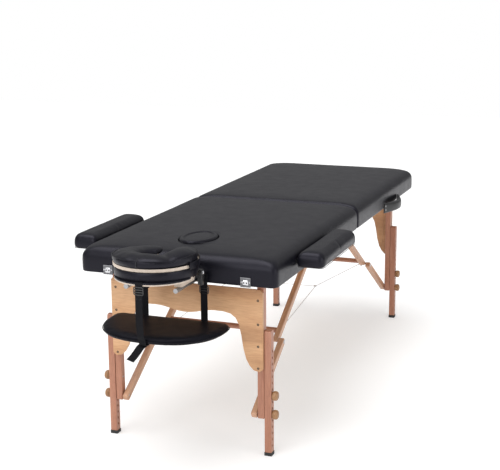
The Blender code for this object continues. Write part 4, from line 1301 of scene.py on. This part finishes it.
def make_cables():
    """Thin wire cables from the elbows to the middle, with crimped ferrules at their ends."""
    waist = Vector((0.183, 0, 0.366))
    for end_name, end in ENDS.items():
        for side_name, side in SIDES.items():
            start = Vector((side * 0.2095, end * 0.585, 0.3235))
            stop = Vector((side * waist.x, end * 0.0004, waist.z))
            shape = bmesh.new()
            points = [at(*start.lerp(stop, t / 24)) for t in range(25)]
            sweep(shape, points, circle(0.00125, 10))
            tube = make(f"side_cable_{end_name}_{side_name}", shape, "cable", sharp=60)
            shape = bmesh.new()
            ferrule = [at(*start.lerp(stop, t)) for t in (0.004, 0.008, 0.030, 0.034)]
            rings = []
            for spot, size in zip(ferrule, (0.0016, 0.0026, 0.0026, 0.0016)):
                ahead = (ferrule[-1] - ferrule[0]).normalized()
                across = ahead.cross(Vector((0, 0, 1))).normalized()
                lift = across.cross(ahead)
                rings.append([shape.verts.new(spot + across * a + lift * b) for a, b in circle(size, 12)])
            bridge(shape, rings)
            crimp = make(f"cable_ferrule_{end_name}_{side_name}", shape, "steel", sharp=60)
            for piece in (tube, crimp):
                put(piece, f"{end_name}_upper_brace")
                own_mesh(piece)
            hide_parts("support_cable")
    shape = bmesh.new()
    points = [at(waist.x * t, 0, waist.z - 0.002 * (1 - t * t)) for t in np.linspace(-1, 1, 25)]
    sweep(shape, points, circle(0.0010, 10), up=Vector((0, 1, 0)))
    cross = make("cross_cable", shape, "cable", sharp=60)
    shape = bmesh.new()
    for side in (-1, 1):
        end_of_cable = at(side * (waist.x + 0.004), 0, waist.z)
        lathe(shape, end_of_cable, (-side, 0, 0), CRIMP_PROFILE, 14)
    crimps = make("cross_cable_ferrules", shape, "steel", sharp=60)
    for piece in (cross, crimps):
        put(piece, "hinge_core")


# ---------------------------------------------------------------- stage


def make_stage():
    size = 9.0
    shape = bmesh.new()
    bmesh.ops.create_grid(shape, x_segments=2, y_segments=2, size=size)
    mesh = bpy.data.meshes.new("floor")
    shape.to_mesh(mesh)
    shape.free()
    floor = bpy.data.objects.new("floor", mesh)
    floor.location = (0, 0, -0.0004)
    look = Nodes("pale_floor", roughness=0.9)
    look.set("Emission Color", (1, 1, 1, 1))
    look.set("Emission Strength", 0.42)
    look.colour(look.ramp(look.noise(2.0), ((0.3, (0.62, 0.62, 0.62)), (0.7, (0.64, 0.64, 0.64)))))
    mesh.materials.append(look.done())
    bpy.context.scene.collection.objects.link(floor)


def area_light(name, place, target, size, power, colour=(1, 1, 1)):
    data = bpy.data.lights.new(name, "AREA")
    data.shape = "RECTANGLE"
    data.size, data.size_y = size
    data.energy = power
    data.color = colour
    lamp = bpy.data.objects.new(name, data)
    lamp.location = place
    lamp.rotation_euler = (Vector(target) - Vector(place)).to_track_quat("-Z", "Y").to_euler()
    bpy.context.scene.collection.objects.link(lamp)


def make_lights():
    """A large overhead softbox, a wide frontal one and a dim surround. The backdrop itself is plain white."""
    world = bpy.data.worlds.new("studio")
    bpy.context.scene.world = world
    world.use_nodes = True
    tree = world.node_tree
    backdrop = tree.nodes["Background"]
    backdrop.inputs["Color"].default_value = (1.0, 1.0, 1.0, 1)
    backdrop.inputs["Strength"].default_value = 1.0
    surround = tree.nodes.new("ShaderNodeBackground")
    direction = tree.nodes.new("ShaderNodeTexCoord")
    split = tree.nodes.new("ShaderNodeSeparateXYZ")
    level = tree.nodes.new("ShaderNodeMapRange")
    level.inputs["From Min"].default_value = 0.0
    level.inputs["From Max"].default_value = 0.8
    level.inputs["To Min"].default_value = SURROUND[0]
    level.inputs["To Max"].default_value = SURROUND[1]
    seen = tree.nodes.new("ShaderNodeLightPath")
    mixed = tree.nodes.new("ShaderNodeMixShader")
    tree.links.new(direction.outputs["Generated"], split.inputs[0])
    tree.links.new(split.outputs["Z"], level.inputs["Value"])
    tree.links.new(level.outputs["Result"], surround.inputs["Strength"])
    tree.links.new(seen.outputs["Is Camera Ray"], mixed.inputs[0])
    tree.links.new(surround.outputs[0], mixed.inputs[1])
    tree.links.new(backdrop.outputs[0], mixed.inputs[2])
    tree.links.new(mixed.outputs[0], tree.nodes["World Output"].inputs["Surface"])
    overhead = bpy.data.lights.new("overhead", "SUN")
    overhead.energy = 2.1
    overhead.angle = math.radians(50)
    lamp = bpy.data.objects.new("overhead", overhead)
    lamp.rotation_euler = (math.radians(14), math.radians(-10), 0)
    bpy.context.scene.collection.objects.link(lamp)
    area_light("front", (-0.6, -4.6, 2.2), (0, -0.4, 0.4), (3.0, 2.2), 64)
    area_light("right", (3.6, -1.6, 1.5), (0, 0, 0.4), (2.0, 1.8), 30)
    bpy.context.scene.view_settings.view_transform = "Standard"


def make_camera():
    place = at(1.54843, -4.31844, 1.60038)
    ahead = Vector((-0.34830, 0.91123, -0.21987)).normalized()
    right = ahead.cross(Vector((0, 0, 1))).normalized()
    up = right.cross(ahead)
    roll = math.radians(-0.39)
    turned = right * math.cos(roll) + up * math.sin(roll)
    raised = up * math.cos(roll) - right * math.sin(roll)
    data = bpy.data.cameras.new("camera")
    data.sensor_width = 36
    data.sensor_fit = "HORIZONTAL"
    data.lens = 82.54
    camera = bpy.data.objects.new("camera", data)
    camera.matrix_world = Matrix((turned, raised, -ahead)).transposed().to_4x4()
    camera.location = place
    bpy.context.scene.collection.objects.link(camera)
    bpy.context.scene.camera = camera


def build():
    make_camera()
    make_stage()
    make_lights()
    dress_frame()
    for end_name, end in ENDS.items():
        make_top_cover(end_name, end)
    make_face_plug()
    make_head_cushion()
    make_spacer()
    make_edge_wraps()
    make_shelf()
    for side_name, side in SIDES.items():
        make_armrest(side_name, side)
    make_straps()
    make_strap_stitching()
    make_knobs()
    make_bolts()
    make_screws()
    make_rail_fittings()
    make_latch_details()
    make_handle()
    make_lever_details()
    make_cables()


build()
